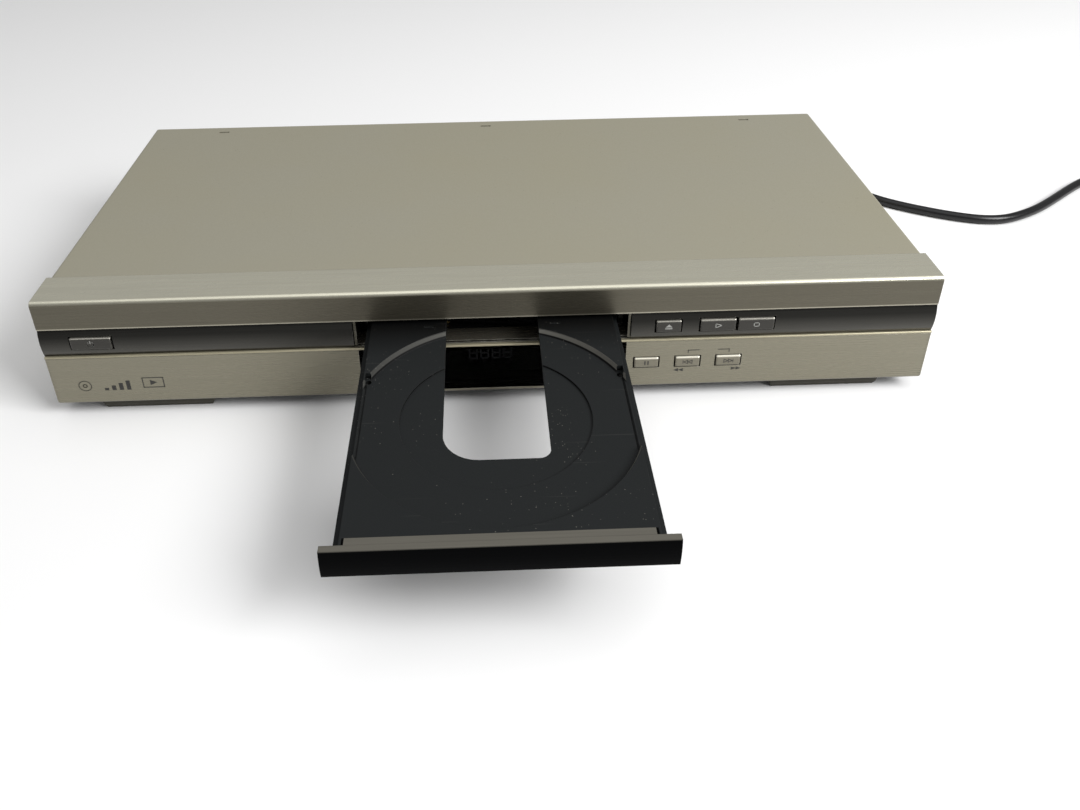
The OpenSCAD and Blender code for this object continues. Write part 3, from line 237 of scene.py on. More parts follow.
def blocks(lows: Array, highs: Array) -> Shape:
    """Many upright boxes as one mesh.

    Args:
        lows: Array (n, 3) of lowest corners.
        highs: Array (n, 3) of highest corners.

    Returns:
        Points: each box's eight corners, low plus (high - low) times 0 or 1 along each axis. Faces:
        the six sides of each, seen anticlockwise from outside.
    """
    unit = np.array([[i >> 2 & 1, i >> 1 & 1, i & 1] for i in range(8)], float)
    points = lows[:, None] + unit * (highs - lows)[:, None]
    sides = np.array([[0, 1, 3, 2], [4, 6, 7, 5], [0, 4, 5, 1], [2, 3, 7, 6], [0, 2, 6, 4], [1, 5, 7, 3]])
    faces = sides + 8 * np.arange(len(lows))[:, None, None]
    return points.reshape(-1, 3), faces.reshape(-1, 4).tolist()


# ---- effects and finishes ----

DUST = (0.13, 0.125, 0.11)
COAT_ROUGH = 0.1
CLOUD_SHADE, ZONE_SHADE = 0.8, 0.86  # how dark a cloud and a zone's grain are against their own colour


class Net:
    """A shader node tree with short ways to add nodes that are fed at once."""

    def __init__(self, tree: Tree) -> None:
        """Work on the given tree."""
        self.tree = tree

    def feed(self, node: Node, feeds: dict[str | int, Feed]) -> None:
        """Give a node's inputs what they read.

        Args:
            node: The node.
            feeds: A socket or a value for each input, by name or number; None leaves it alone.
        """
        for key, feed in feeds.items():
            if isinstance(feed, Socket):
                self.tree.links.new(feed, node.inputs[key])
            elif feed is not None:
                node.inputs[key].default_value = feed

    def add(self, kind: str, feeds: dict[str | int, Feed], **settings: str | int | Tree) -> Node:
        """Add a node.

        Args:
            kind: Its type, without the word that all shader nodes start with.
            feeds: What its inputs read.
            **settings: Its own settings, such as its operation.

        Returns:
            The new node.
        """
        node = self.tree.nodes.new(f"ShaderNode{kind}")
        for key, value in settings.items():
            setattr(node, key, value)
        self.feed(node, feeds)
        return node

    def times(self, a: Feed, b: Feed) -> Socket:
        """Product of two numbers."""
        return self.add("Math", {0: a, 1: b}, operation="MULTIPLY").outputs[0]

    def below(self, a: Feed, b: Feed) -> Socket:
        """1 where a is less than b, else 0."""
        return self.add("Math", {0: a, 1: b}, operation="LESS_THAN").outputs[0]

    def dot(self, a: Feed, b: Feed) -> Socket:
        """Dot product of two vectors."""
        return self.add("VectorMath", {0: a, 1: b}, operation="DOT_PRODUCT").outputs["Value"]

    def noise(self, vector: Socket, scale: Feed, detail: float, rough: float = 0.6) -> Socket:
        """Noise at a vector, of the given scale, detail and roughness."""
        feeds = {"Vector": vector, "Scale": scale, "Detail": detail, "Roughness": rough}
        return self.add("TexNoise", feeds).outputs["Fac"]

    def cells(self, vector: Socket, scale: Feed) -> tuple[Node, Node]:
        """Cell pattern at a vector, and the node that parts each cell's chance colour into numbers."""
        cells = self.add("TexVoronoi", {"Vector": vector, "Scale": scale})
        return cells, self.add("SeparateColor", {0: cells.outputs["Color"]})

    def spread(self, value: Socket, low: Feed = 0.3, high: Feed = 0.7) -> Socket:
        """A value with low..high spread to 0..1."""
        return self.add("MapRange", {"Value": value, "From Min": low, "From Max": high}).outputs[0]

    def mix(self, mask: Socket, a: Colour | Socket, b: Colour | Socket) -> Socket:
        """Colour a where the mask is 0 and b where it is 1."""
        a, b = ((*c, 1) if isinstance(c, tuple) else c for c in (a, b))
        return self.add("Mix", {0: mask, 6: a, 7: b}, data_type="RGBA").outputs[2]

    def group(self, tree: Tree, vector: Socket, **feeds: Feed) -> Socket:
        """Output of a shared group at a vector, with its other inputs fed."""
        return self.add("Group", {"Vector": vector, **feeds}, node_tree=tree).outputs[0]


class Group(Net):
    """A shared node group while it is being built; it has one output."""

    def __init__(self, name: str, result: str, **inputs: float | None) -> None:
        """Start a group that reads a vector.

        Args:
            name: The group's name.
            result: Name of its output.
            **inputs: Its other inputs with their usual value, None for one more vector.
        """
        super().__init__(bpy.data.node_groups.new(name, "ShaderNodeTree"))
        inputs = {"Vector": None, **inputs}
        for key, value in inputs.items():
            kind = "NodeSocketVector" if value is None else "NodeSocketFloat"
            socket = self.tree.interface.new_socket(name=key, in_out="INPUT", socket_type=kind)
            if value is not None:
                socket.default_value = value
        self.tree.interface.new_socket(name=result, in_out="OUTPUT", socket_type="NodeSocketFloat")
        source = self.tree.nodes.new("NodeGroupInput")
        self.given = [source.outputs[key] for key in inputs]
        self.sink = self.tree.nodes.new("NodeGroupOutput")

    def close(self, value: Socket) -> Tree:
        """Send a value to the output and hand the group over."""
        self.tree.links.new(value, self.sink.inputs[0])
        return self.tree


class Effects:
    """Shared shader node groups, each built once, when a finish first asks for it."""

    @cached_property
    def brushed(self) -> Tree:
        """Fine lines that run along x.

        Returns:
            Noise stretched by the along and across scales.
        """
        g = Group("brushed_lines", "Shade", Along=40, Across=1500)
        vector, along, across = g.given
        scales = g.add("CombineXYZ", {0: along, 1: across, 2: across}).outputs[0]
        drawn = g.add("VectorMath", {0: vector, 1: scales}, operation="MULTIPLY").outputs[0]
        return g.close(g.spread(g.noise(drawn, 1, 4, 0.7)))

    @cached_property
    def grained(self) -> Tree:
        """Even moulded or sprayed grain: fine noise, its middle range spread."""
        g = Group("surface_grain", "Shade", Scale=1500)
        return g.close(g.spread(g.noise(*g.given, 3)))

    @cached_property
    def clouds(self) -> Tree:
        """Broad soft patches, as handling and age leave."""
        g = Group("broad_clouds", "Shade", Scale=12)
        return g.close(g.spread(g.noise(*g.given, 5, 0.55)))

    @cached_property
    def spangle(self) -> Tree:
        """Zinc crystals: one shade for each cell of a fine cell pattern."""
        g = Group("zinc_spangle", "Shade", Scale=220)
        return g.close(g.cells(*g.given)[1].outputs[0])

    @cached_property
    def tracks(self) -> Tree:
        """Copper tracks under lacquer.

        Returns:
            The joints of a brick pattern.
        """
        g = Group("board_tracks", "Mask", Scale=160)
        vector, scale = g.given
        black, white = (0, 0, 0, 1), (1, 1, 1, 1)
        bricks = {"Color1": black, "Color2": black, "Mortar": white, "Mortar Size": 0.09,
                  "Brick Width": 1.7, "Row Height": 0.4}
        return g.close(g.add("TexBrick", {"Vector": vector, "Scale": scale, **bricks}).outputs["Color"])

    @cached_property
    def specks(self) -> Tree:
        """Dust.

        Returns:
            Small round specks in scattered cells, thicker where a broad noise is high.
        """
        g = Group("dust_specks", "Mask", Scale=1100, Size=0.22, Amount=0.5)
        vector, scale, size, amount = g.given
        cells, parts = g.cells(vector, scale)
        share = g.times(g.spread(g.noise(vector, 24, 4), 0.46, 0.78), amount)
        speck = g.times(g.below(cells.outputs["Distance"], size), g.below(parts.outputs[0], share))
        return g.close(g.times(speck, parts.outputs[1]))

    @cached_property
    def hairlines(self) -> Tree:
        """Handling scratches.

        Returns:
            Thin rare crests of noise drawn out along slanted lines, two ways.
        """
        g = Group("hairlines", "Mask", Scale=900, Amount=0.3)
        vector, scale, amount = g.given
        crests = []
        for turn in (0.5, -0.9):
            lean = {"Vector": vector, "Rotation": (0, 0, turn), "Scale": (0.02, 1, 0.3)}
            crests.append(g.spread(g.noise(g.add("Mapping", lean).outputs[0], scale, 1), 0.74, 0.8))
        most = g.add("Math", dict(enumerate(crests)), operation="MAXIMUM").outputs[0]
        return g.close(g.times(most, amount))

    @cached_property
    def edges(self) -> Tree:
        """Wear and painted highlight along edges.

        Returns:
            How far the rounded normal leans from the face's own, broken up by noise.
        """
        g = Group("edge_wear_and_highlight", "Mask", Rounded=None, Amount=0.5)
        vector, rounded, amount = g.given
        lean = g.spread(g.dot(rounded, g.add("NewGeometry", {}).outputs["Normal"]), 0.97, 0.8)
        return g.close(g.times(g.times(lean, g.spread(g.noise(vector, 160, 3), 0.3, 0.6)), amount))

    @cached_property
    def zone(self) -> Tree:
        """Where a vector's part along an axis lies between two levels: 0 at Low, 1 at High."""
        g = Group("level_zone", "Mask", Axis=None, Low=0, High=1)
        return g.close(g.spread(g.dot(*g.given[:2]), *g.given[2:]))


class Grain(Enum):
    """Which surface pattern a finish carries, by its name among the effects."""

    BRUSHED = "brushed"
    GRAINED = "grained"
    CLOUDS = "clouds"
    TRACKS = "tracks"
    SPANGLE = "spangle"


class Read(Enum):
    """Which vector a zone reads: the place on the object or the way its surface looks."""

    PLACE = "Object"
    LOOKS = "Normal"


@dataclass(frozen=True)
class Zone:
    """Part of a surface with a colour laid over it, by its place or its normal along an axis; most zones
    here paint light or shade.
    """

    low: float
    high: float
    colour: Colour
    axis: Point = (0, 0, 1)
    reads: Read = Read.PLACE


@dataclass(frozen=True)
class Finish:
    """One surface finish; its material is a single Principled shader fed by shared effects.

    Scale is how fine the grain is, for a brushed one across its lines, and along is the same along them.
    """

    name: str
    colour: Colour
    second: Colour
    rough: Flat
    grain: Grain = Grain.GRAINED
    scale: float = 1500
    along: float = 40
    bump: float = 0.00002
    strength: float = 0.3
    metallic: float = 0
    coat: float = 0
    specular: float = 0.5
    ior: float = 1.5
    transmission: float = 0
    dust: float = 0
    scratches: float = 0
    clouds: float = 0
    cloud_scale: float = 12
    cloud_colour: Colour | None = None
    edge: float = 0.0003
    # Amount and colour of the edge mask: wear, and painted highlight along edges; scratches take the same
    # colour.
    wear_and_highlight: float = 0
    worn_and_lit: Colour = (0.3, 0.3, 0.28)
    glow: float = 0
    zones: tuple[Zone, ...] = ()

    def material(self, effects: Effects) -> bpy.types.Material:
        """Build the material, or find it if it is there.

        Args:
            effects: The shared node groups.

        Returns:
            The material: base colour runs from colour to second with the pattern, roughness runs
            over its range with it, the pattern also gives the bump, over normals rounded at the edges.
            Clouds, zones (most of them painted light and shade), edge wear with painted edge highlight,
            scratches and dust lie over the colour in that order.
        """
        name = f"{self.name}_finish"
        if name in bpy.data.materials:
            return bpy.data.materials[name]
        material = bpy.data.materials.new(name)
        material.use_nodes = True
        net = Net(material.node_tree)
        spot = net.add("TexCoord", {}).outputs
        here = spot["Object"]
        brushed = self.grain is Grain.BRUSHED
        scales = {"Along": self.along, "Across": self.scale} if brushed else {"Scale": self.scale}
        shade = net.group(getattr(effects, self.grain.value), here, **scales)
        colour = net.mix(shade, self.colour, self.second)
        if self.clouds:
            broad = net.group(effects.clouds, here, Scale=self.cloud_scale)
            tint = self.cloud_colour or tuple(c * CLOUD_SHADE for c in self.second)
            colour = net.mix(net.times(broad, self.clouds), colour, tint)
        for zone in self.zones:
            mask = net.group(effects.zone, spot[zone.reads.value],
                             Axis=zone.axis, Low=zone.low, High=zone.high)
            tinted = net.mix(shade, zone.colour, tuple(c * ZONE_SHADE for c in zone.colour))
            colour = net.mix(mask, colour, tinted)
        rounded = net.add("Bevel", {"Radius": self.edge}, samples=4).outputs[0] if self.edge else None
        # Edges take a lighter colour: wear, and painted highlight along them.
        if self.wear_and_highlight and self.edge:
            worn_and_lit = net.group(effects.edges, here, Rounded=rounded, Amount=self.wear_and_highlight)
            colour = net.mix(worn_and_lit, colour, self.worn_and_lit)
        if self.scratches:
            fine = net.group(effects.hairlines, here, Amount=self.scratches)
            colour = net.mix(fine, colour, self.worn_and_lit)
        if self.dust:
            colour = net.mix(net.group(effects.specks, here, Amount=self.dust), colour, DUST)
        low, high = self.rough
        rough = net.add("MapRange", {"Value": shade, "To Min": low, "To Max": high}).outputs[0]
        normal = rounded
        if self.bump:
            feeds = {"Strength": self.strength, "Distance": self.bump, "Height": shade, "Normal": rounded}
            normal = net.add("Bump", feeds).outputs[0]
        net.feed(net.tree.nodes["Principled BSDF"], {
            "Base Color": colour, "Roughness": rough, "Normal": normal, "Metallic": self.metallic,
            "Coat Weight": self.coat, "Coat Roughness": COAT_ROUGH, "Specular IOR Level": self.specular,
            "IOR": self.ior, "Transmission Weight": self.transmission, "Emission Strength": self.glow})
        return material


COVER_PAINT = Finish(
    "cover_paint", (0.35, 0.334, 0.264), (0.325, 0.309, 0.242), (0.36, 0.46), scale=1900, metallic=0.25,
    clouds=0.3, cloud_scale=8, cloud_colour=(0.34, 0.31, 0.2), strength=0.12, wear_and_highlight=0.35,
    worn_and_lit=(0.45, 0.44, 0.4), dust=0.1)
FACE_SILVER = Finish(
    "face_silver", (0.232, 0.217, 0.165), (0.218, 0.203, 0.153), (0.25, 0.31), Grain.BRUSHED, 900, 16,
    metallic=0.7, strength=0.03, wear_and_highlight=0.6, worn_and_lit=(0.75, 0.73, 0.64), edge=0.0004,
    zones=(
        # Faces more than 0.5 mm behind the front, such as the walls of the mouth, nearly black: painted
        # shade.
        Zone(-0.0342, -0.0339, (0.012, 0.011, 0.009), (0, 1, 0)),
        # Faces looking up, such as the sill in the mouth, darker than the silver: painted shade.
        Zone(0.5, 0.95, (0.13, 0.12, 0.095), reads=Read.LOOKS),
        # Beyond 213.5 mm to either side the ends take back a colour near the plain silver, clear of the
        # painted shade above.
        Zone(0.2135, 0.2142, (0.22, 0.206, 0.158), (1, 0, 0)),
        Zone(0.2135, 0.2142, (0.22, 0.206, 0.158), (-1, 0, 0)),
        # A pale strip from 51.5 mm, under the visor colour that follows: a painted highlight along the
        # visor's lower edge.
        Zone(0.0515, 0.0518, (0.4, 0.375, 0.3)),
        # From 52.2 mm up the visor face is darker than the lower panel: painted shade, standing in for the
        # dark reflection it shows.
        Zone(0.0522, 0.0526, (0.115, 0.105, 0.078)),
        # From 65.5 mm up, the rounded top edge and the top far lighter: a painted highlight along the edge
        # and painted light on the top.
        Zone(0.0655, 0.0668, (0.68, 0.66, 0.54))))
KEY_SILVER = Finish(
    "key_silver", (0.205, 0.19, 0.145), (0.18, 0.166, 0.125), (0.26, 0.36), Grain.BRUSHED, 1500, 22,
    metallic=0.5, strength=0.08, wear_and_highlight=0.8, worn_and_lit=(0.6, 0.58, 0.5),
    # From 24.5 mm up, the top of each panel key pale: painted highlight.
    zones=(Zone(0.0245, 0.0248, (0.8, 0.77, 0.65)),))
BAND_GREY = Finish(
    "band_grey", (0.078, 0.075, 0.067), (0.068, 0.066, 0.059), (0.2, 0.28), Grain.BRUSHED, 1300, 18,
    metallic=0.85, strength=0.06, wear_and_highlight=0.5, worn_and_lit=(0.4, 0.39, 0.35),
    # Darker towards the top, under the visor: painted shade; below 37 mm nearly black: painted shadow in
    # the gap above the trim.
    zones=(Zone(0.0385, 0.0475, (0.016, 0.0155, 0.0135)), Zone(0.0371, 0.0369, (0.006, 0.006, 0.005))))
KEY_GREY = Finish(
    "key_grey", (0.05, 0.048, 0.043), (0.042, 0.04, 0.036), (0.2, 0.28), Grain.BRUSHED, 1300, 18,
    metallic=0.75, strength=0.06, wear_and_highlight=0.9, worn_and_lit=(0.5, 0.48, 0.43), edge=0.0005,
    # From 46.8 mm up, the top of each band key pale: painted highlight.
    zones=(Zone(0.0468, 0.0471, (0.4, 0.385, 0.34)),))
BRIGHT_TRIM = Finish(
    "bright_trim", (0.42, 0.385, 0.27), (0.34, 0.31, 0.215), (0.3, 0.4), Grain.BRUSHED, 900, 14,
    # Below 35.3 mm the trim's lower edge is darker: painted shade.
    metallic=0.6, strength=0.06, zones=(Zone(0.0354, 0.0352, (0.2, 0.185, 0.14)),))
SMOKED = Finish(
    "smoked_window", (0.05, 0.052, 0.053), (0.046, 0.048, 0.049), (0.02, 0.05), transmission=1,
    specular=0.05, ior=1.08, bump=0, edge=0)
DISPLAY_GLASS = Finish("display_glass", (0.02, 0.021, 0.023), (0.012, 0.013, 0.015), (0.08, 0.14), bump=0)
# Every bar of the four characters glows faintly though none is lit: painted light.
SEGMENT = Finish(
    "display_segment", (0.16, 0.16, 0.155), (0.13, 0.13, 0.125), (0.3, 0.4), bump=0, edge=0, glow=0.2)
TRAY_BLACK = Finish(
    "tray_charcoal", (0.0125, 0.0142, 0.0145), (0.0095, 0.0108, 0.0112), (0.46, 0.58), scale=2100,
    specular=0.18, dust=0.3, wear_and_highlight=0.15, worn_and_lit=(0.12, 0.118, 0.108), scratches=0.12,
    clouds=0.2, zones=(
        # Steep sloped faces, such as the recess walls, light grey: painted highlight, a little stronger on
        # faces leaning left.
        Zone(0.22, 0.52, (0.145, 0.141, 0.125), (-0.15, 0, 1), reads=Read.LOOKS),
        # Below 48 mm nearly black, and the next zone gives faces looking up the tray's colour back: painted
        # shadow along the foot of the walls and on the lower sides.
        Zone(0.0482, 0.048, (0.0022, 0.0024, 0.0025)),
        Zone(0.6, 0.7, (0.011, 0.0125, 0.0129), reads=Read.LOOKS),
        # Darker towards the mouth and higher up, along y plus 30 times height: painted shade where the tray
        # runs under the visor.
        Zone(1.44, 1.462, (0.0005, 0.0006, 0.0007), (0, 1, 30))))
DOOR_BLACK = Finish(
    "door_face", (0.0012, 0.0013, 0.0015), (0.0009, 0.001, 0.0011), (0.3, 0.4), Grain.BRUSHED, 1200, 20,
    strength=0.06, specular=0.015, wear_and_highlight=0.3, worn_and_lit=(0.1, 0.1, 0.095),
    # Faces looking up, the top and shelf, far lighter than the nearly black face: partly a lighter finish
    # on the top, partly painted light, a lit top over a face in painted shade.
    zones=(Zone(0.6, 0.85, (0.112, 0.106, 0.09), reads=Read.LOOKS),))
FOOT_GREY = Finish(
    "foot_grey", (0.066, 0.063, 0.052), (0.056, 0.053, 0.044), (0.55, 0.7), scale=1300, specular=0.1,
    wear_and_highlight=0.4, worn_and_lit=(0.1, 0.096, 0.08))
RUBBER = Finish(
    "black_rubber", (0.01, 0.01, 0.01), (0.006, 0.006, 0.006), (0.42, 0.58), scale=1700, specular=0.35,
    wear_and_highlight=0.4, worn_and_lit=(0.05, 0.05, 0.048))
CORD_BLACK = Finish(
    "cord_sheath", (0.005, 0.005, 0.006), (0.0035, 0.0035, 0.004), (0.26, 0.36), scale=900, specular=0.4,
    edge=0)
BLACK_PLASTIC = Finish(
    "black_moulding", (0.012, 0.012, 0.013), (0.008, 0.008, 0.009), (0.42, 0.56), wear_and_highlight=0.3,
    worn_and_lit=(0.07, 0.07, 0.068))
STEEL = Finish(
    "plated_steel", (0.4, 0.405, 0.4), (0.33, 0.335, 0.33), (0.3, 0.46), Grain.SPANGLE, 190,
    metallic=0.85, strength=0.04, clouds=0.2, wear_and_highlight=0.4, worn_and_lit=(0.6, 0.6, 0.58))
REAR_STEEL = Finish(
    "rear_plate", (0.3, 0.305, 0.3), (0.25, 0.255, 0.25), (0.32, 0.46), Grain.SPANGLE, 260, metallic=0.7,
    strength=0.04, clouds=0.3, wear_and_highlight=0.5, worn_and_lit=(0.55, 0.55, 0.53), dust=0.12)
SCREW_STEEL = Finish(
    "screw_steel", (0.46, 0.46, 0.44), (0.38, 0.38, 0.36), (0.22, 0.32), metallic=1, wear_and_highlight=0.4,
    worn_and_lit=(0.75, 0.75, 0.72))
NATURAL = Finish(
    "natural_plastic", (0.62, 0.6, 0.53), (0.55, 0.53, 0.46), (0.34, 0.46), wear_and_highlight=0.2,
    worn_and_lit=(0.75, 0.73, 0.66))
DARK_PART = Finish(
    "dark_part", (0.02, 0.02, 0.021), (0.014, 0.014, 0.015), (0.4, 0.5), wear_and_highlight=0.2,
    worn_and_lit=(0.09, 0.09, 0.085))
BRASS = Finish("turned_brass", (0.72, 0.55, 0.24), (0.6, 0.44, 0.18), (0.2, 0.34), metallic=1)
NICKEL = Finish(
    "bright_nickel", (0.6, 0.57, 0.48), (0.52, 0.49, 0.4), (0.14, 0.24), metallic=1, wear_and_highlight=0.3,
    worn_and_lit=(0.8, 0.78, 0.7))
BOARD = Finish(
    "board_green", (0.02, 0.1, 0.042), (0.035, 0.16, 0.066), (0.25, 0.4), Grain.TRACKS, coat=0.3,
    strength=0.4, bump=0.00003)
POWER_BOARD = Finish(
    "board_amber", (0.27, 0.16, 0.06), (0.34, 0.21, 0.085), (0.4, 0.55), Grain.TRACKS, 120, bump=0.00003)
LENS = Finish("lens_glass", (0.16, 0.24, 0.5), (0.12, 0.2, 0.45), (0.04, 0.08), coat=1, bump=0)
CAST = Finish("cast_alloy", (0.32, 0.32, 0.33), (0.24, 0.24, 0.25), (0.4, 0.6), metallic=0.9, strength=0.5)
WINDING = Finish("winding_tape", (0.5, 0.36, 0.07), (0.42, 0.3, 0.05), (0.3, 0.42), Grain.BRUSHED, 900)
# Dark print; on the screw heads the same colour is painted shade standing in for cross slots.
DARK_PRINT_AND_SHADE = Finish(
    "dark_print_and_shade", (0.016, 0.015, 0.012), (0.012, 0.011, 0.009), (0.45, 0.6), bump=0, edge=0)
PRINT_PALE = Finish("print_pale", (0.34, 0.34, 0.32), (0.28, 0.28, 0.265), (0.4, 0.5), bump=0, edge=0)
PLATE_FOIL = Finish(
    "plate_foil", (0.5, 0.5, 0.49), (0.45, 0.45, 0.44), (0.3, 0.4), Grain.BRUSHED, 1500, 30,
    metallic=0.3, strength=0.05)
FLOOR = Finish(
    "pale_floor", (0.9, 0.9, 0.9), (0.885, 0.885, 0.885), (0.6, 0.7), Grain.CLOUDS, 2, bump=0, edge=0,
    specular=0.2)
RING_COLOURS = {"yellow": (0.72, 0.5, 0.02), "white": (0.7, 0.7, 0.66), "red": (0.5, 0.015, 0.012),
                "green": (0.02, 0.25, 0.06), "blue": (0.015, 0.06, 0.34), "orange": (0.7, 0.18, 0.01),
                "black": (0.012, 0.012, 0.013)}


# ---- studio ----


@dataclass
class Studio:
    """Camera, pale floor and soft light; angles in radians, lengths in metres where no unit is named."""

    focal_px: float = 930.6727
    eye_mm: Point = (-3.22449, -363.19732, 310.98967)
    pitch: float = 0.51024
    yaw: float = 0.0272
    roll: float = -0.01361
    axis_px: Flat = (504.9524, 215)
    size_px: tuple[int, int] = (1080, 810)
    sensor_mm: float = 36
    floor_half: float = 4
    floor_z: float = -0.0001
    lamps: tuple[tuple[str, Point, Point, Flat, float], ...] = (  # name, place, aim, size, watts
        ("key_light", (1.2, -0.75, 1.2), (0, 0, 0.03), (1, 0.8), 35),
        ("top_light", (0.1, -0.15, 1.9), (0, 0, 0), (2.6, 2), 16))
    surround: float = 0.3

    def camera(self) -> None:
        """Set the camera by its fitted pose, focal length in pixels and optical axis."""
        forward = np.array([math.sin(self.yaw) * math.cos(self.pitch),
                            math.cos(self.yaw) * math.cos(self.pitch), -math.sin(self.pitch)])
        level = np.array([math.cos(self.yaw), -math.sin(self.yaw), 0])
        upright = np.cross(level, forward)
        c, s = math.cos(self.roll), math.sin(self.roll)
        right, up = c * level + s * upright, c * upright - s * level
        data = bpy.data.cameras.new("camera")
        data.sensor_fit, data.sensor_width = "HORIZONTAL", self.sensor_mm
        wide, high = self.size_px
        data.lens = self.focal_px / wide * data.sensor_width
        data.shift_x = (wide / 2 - self.axis_px[0]) / wide
        data.shift_y = (self.axis_px[1] - high / 2) / wide
        data.clip_start, data.clip_end = 0.01, 50
        camera = bpy.data.objects.new("camera", data)
        eye = place(np.array(self.eye_mm))
        turn = Matrix(np.stack([right, up, -forward], 1).tolist()).to_4x4()
        camera.matrix_world = Matrix.Translation(Vector(eye)) @ turn
        bpy.context.scene.collection.objects.link(camera)
        bpy.context.scene.camera = camera
        log.info("camera at %s, lens %.2f mm", eye.round(4), data.lens)

    def floor(self, effects: Effects) -> None:
        """Lay a wide pale floor.

        Args:
            effects: The shared node groups.
        """
        half = self.floor_half
        points = np.column_stack([bar(-half, -half, half, half), np.full(4, self.floor_z)])
        floor = make_object("floor", points, [[0, 1, 2, 3]])
        floor.data.materials.append(FLOOR.material(effects))

    def lights(self) -> None:
        """Hang a soft key light in front, a broad soft light overhead and an even dim surround."""
        scene = bpy.context.scene
        for name, where, aim, size, watts in self.lamps:
            data = bpy.data.lights.new(name, "AREA")
            data.shape, (data.size, data.size_y), data.energy = "RECTANGLE", size, watts
            lamp = bpy.data.objects.new(name, data)
            lamp.location = where
            lamp.rotation_euler = (Vector(aim) - Vector(where)).to_track_quat("-Z", "Y").to_euler()
            scene.collection.objects.link(lamp)
        world = bpy.data.worlds.new("surround")
        world.use_nodes = True
        back = world.node_tree.nodes["Background"]
        back.inputs[0].default_value = (1, 1, 1, 1)
        back.inputs[1].default_value = self.surround
        scene.world = world
        scene.view_settings.view_transform = "Standard"


# ---- sub-assemblies, in millimetres ----


@dataclass
class SubAssembly:
    """A part of the player, which gives its CAD nodes their finishes and makes its own new pieces."""

    effects: Effects

    def dress(self, nodes: dict[Finish, str]) -> None:
        """Put finishes on CAD nodes.

        Args:
            nodes: The names of each finish's nodes, with spaces between them.
        """
        for finish, names in nodes.items():
            for name in names.split():
                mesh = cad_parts[name].data
                mesh.materials.clear()
                mesh.materials.append(finish.material(self.effects))
                log.info("dressed %s in %s", name, finish.name)

    def piece(self, name: str, shape: Shape, finish: Finish, body: str = "chassis",
              smooth: bool = False) -> bpy.types.Object:
        """Make a new piece and let it ride on a body.

        Args:
            name: Name of the piece.
            shape: Its points, in millimetres, and its faces.
            finish: Its finish.
            body: The CAD body that carries it.
            smooth: Whether its faces are shaded smooth.

        Returns:
            The new object.
        """
        points, faces = shape
        piece = make_object(name, place(points), faces, smooth)
        piece.data.materials.append(finish.material(self.effects))
        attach(piece, body)
        log.info("made %s on %s, %d faces", name, body, len(faces))
        return piece

    def marks(self, name: str, outlines: list[Array], finish: Finish, level: float,
              facing: Facing = Facing.FRONT, thick: float = 0.03, body: str = "chassis") -> None:
        """Make flat marks that lie on a surface, with the arguments of plates and of piece."""
        self.piece(name, plates(outlines, level, thick, facing), finish, body)


@dataclass
class MainsCord(SubAssembly):
    """Mains lead: out of its bush, along the floor, wound in two layers of three turns, plug beside it."""

    diameter: float = 6
    length: float = 1.5
    route: tuple[Point, ...] = (
        (190, 212, 20), (193.9, 226.5, 18.9), (204.5, 237.1, 16.2), (219, 241, 12.6), (233.5, 237.1, 8.8),
        (241.5, 230.3, 6.5), (256, 212, 3.1), (271, 193, 3), (296, 176.5, 3), (319, 166, 3), (334, 163, 3),
        (349, 165, 3), (372, 176, 3), (396, 193, 3), (416, 207.5, 3), (433, 217, 3), (450, 218.5, 3),
        (465.5, 210, 3), (475.5, 195, 3), (479, 177, 3), (475, 157, 3), (468, 136, 3), (461.6, 115, 3))
    relaxing: int = 12
    centre: Flat = (421.6, 100)
    inner: float = 25.6
    pitch: float = 6.15
    turns: float = 5
    turn_steps: int = 72
    route_steps: int = 10
    lead_steps: int = 6
    sides: int = 12
    steps: tuple[Point, ...] = (  # from and to which turn the radius steps, and its way
        (0.6, 0.84, -1), (1.44, 1.68, -1), (3.16, 3.4, 1), (4, 4.24, 1))
    climb: Flat = (2.3, 2.5)
    leave_y: float = 90
    lead: Flats = ((81, 8.8), (72, 7.6), (64, 6.7), (56, 6.5), (42, 6.5))  # y, z to the plug

    def coil(self) -> Array:
        """Centreline of the coil.

        Returns:
            Points at angle minus one turn per unit of t: the radius steps in by a pitch twice on the
            lower layer and out twice on the upper, and the height steps up once between them.
        """
        t = np.linspace(0, self.turns, int(self.turns * self.turn_steps) + 1)
        r = self.inner + self.pitch * sum((way * smoothstep(t, *turns) for *turns, way in self.steps), 2)
        z = self.diameter / 2 + self.pitch * smoothstep(t, *self.climb)
        a = -2 * np.pi * t
        return np.stack([self.centre[0] + r * np.cos(a), self.centre[1] + r * np.sin(a), z], 1)

    def line(self) -> Array:
        """Whole centreline.

        Returns:
            Points of the route, relaxed by taking a quarter of each neighbour and half of itself,
            then of the coil and of the lead to the plug.
        """
        coil = self.coil()
        x, _, top = coil[-1]
        run = catmull(np.vstack([self.route, coil[:1]]), self.route_steps)
        for _ in range(self.relaxing):
            run[1:-1] = (run[:-2] + 2 * run[1:-1] + run[2:]) / 4
        lead = np.array([coil[-1], (x, self.leave_y, top), *((x, y, z) for y, z in self.lead)])
        return np.vstack([run[:-1], coil[:-1], catmull(lead, self.lead_steps)])

    def build(self) -> None:
        line = self.line()
        cord = self.piece("mains_lead", tube(line, self.diameter / 2, self.sides), CORD_BLACK, smooth=True)
        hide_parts("power_cord", "cord_coil")
        self.dress({RUBBER: "cord_relief coil_tie plug_body", BRASS: "plug_pins"})


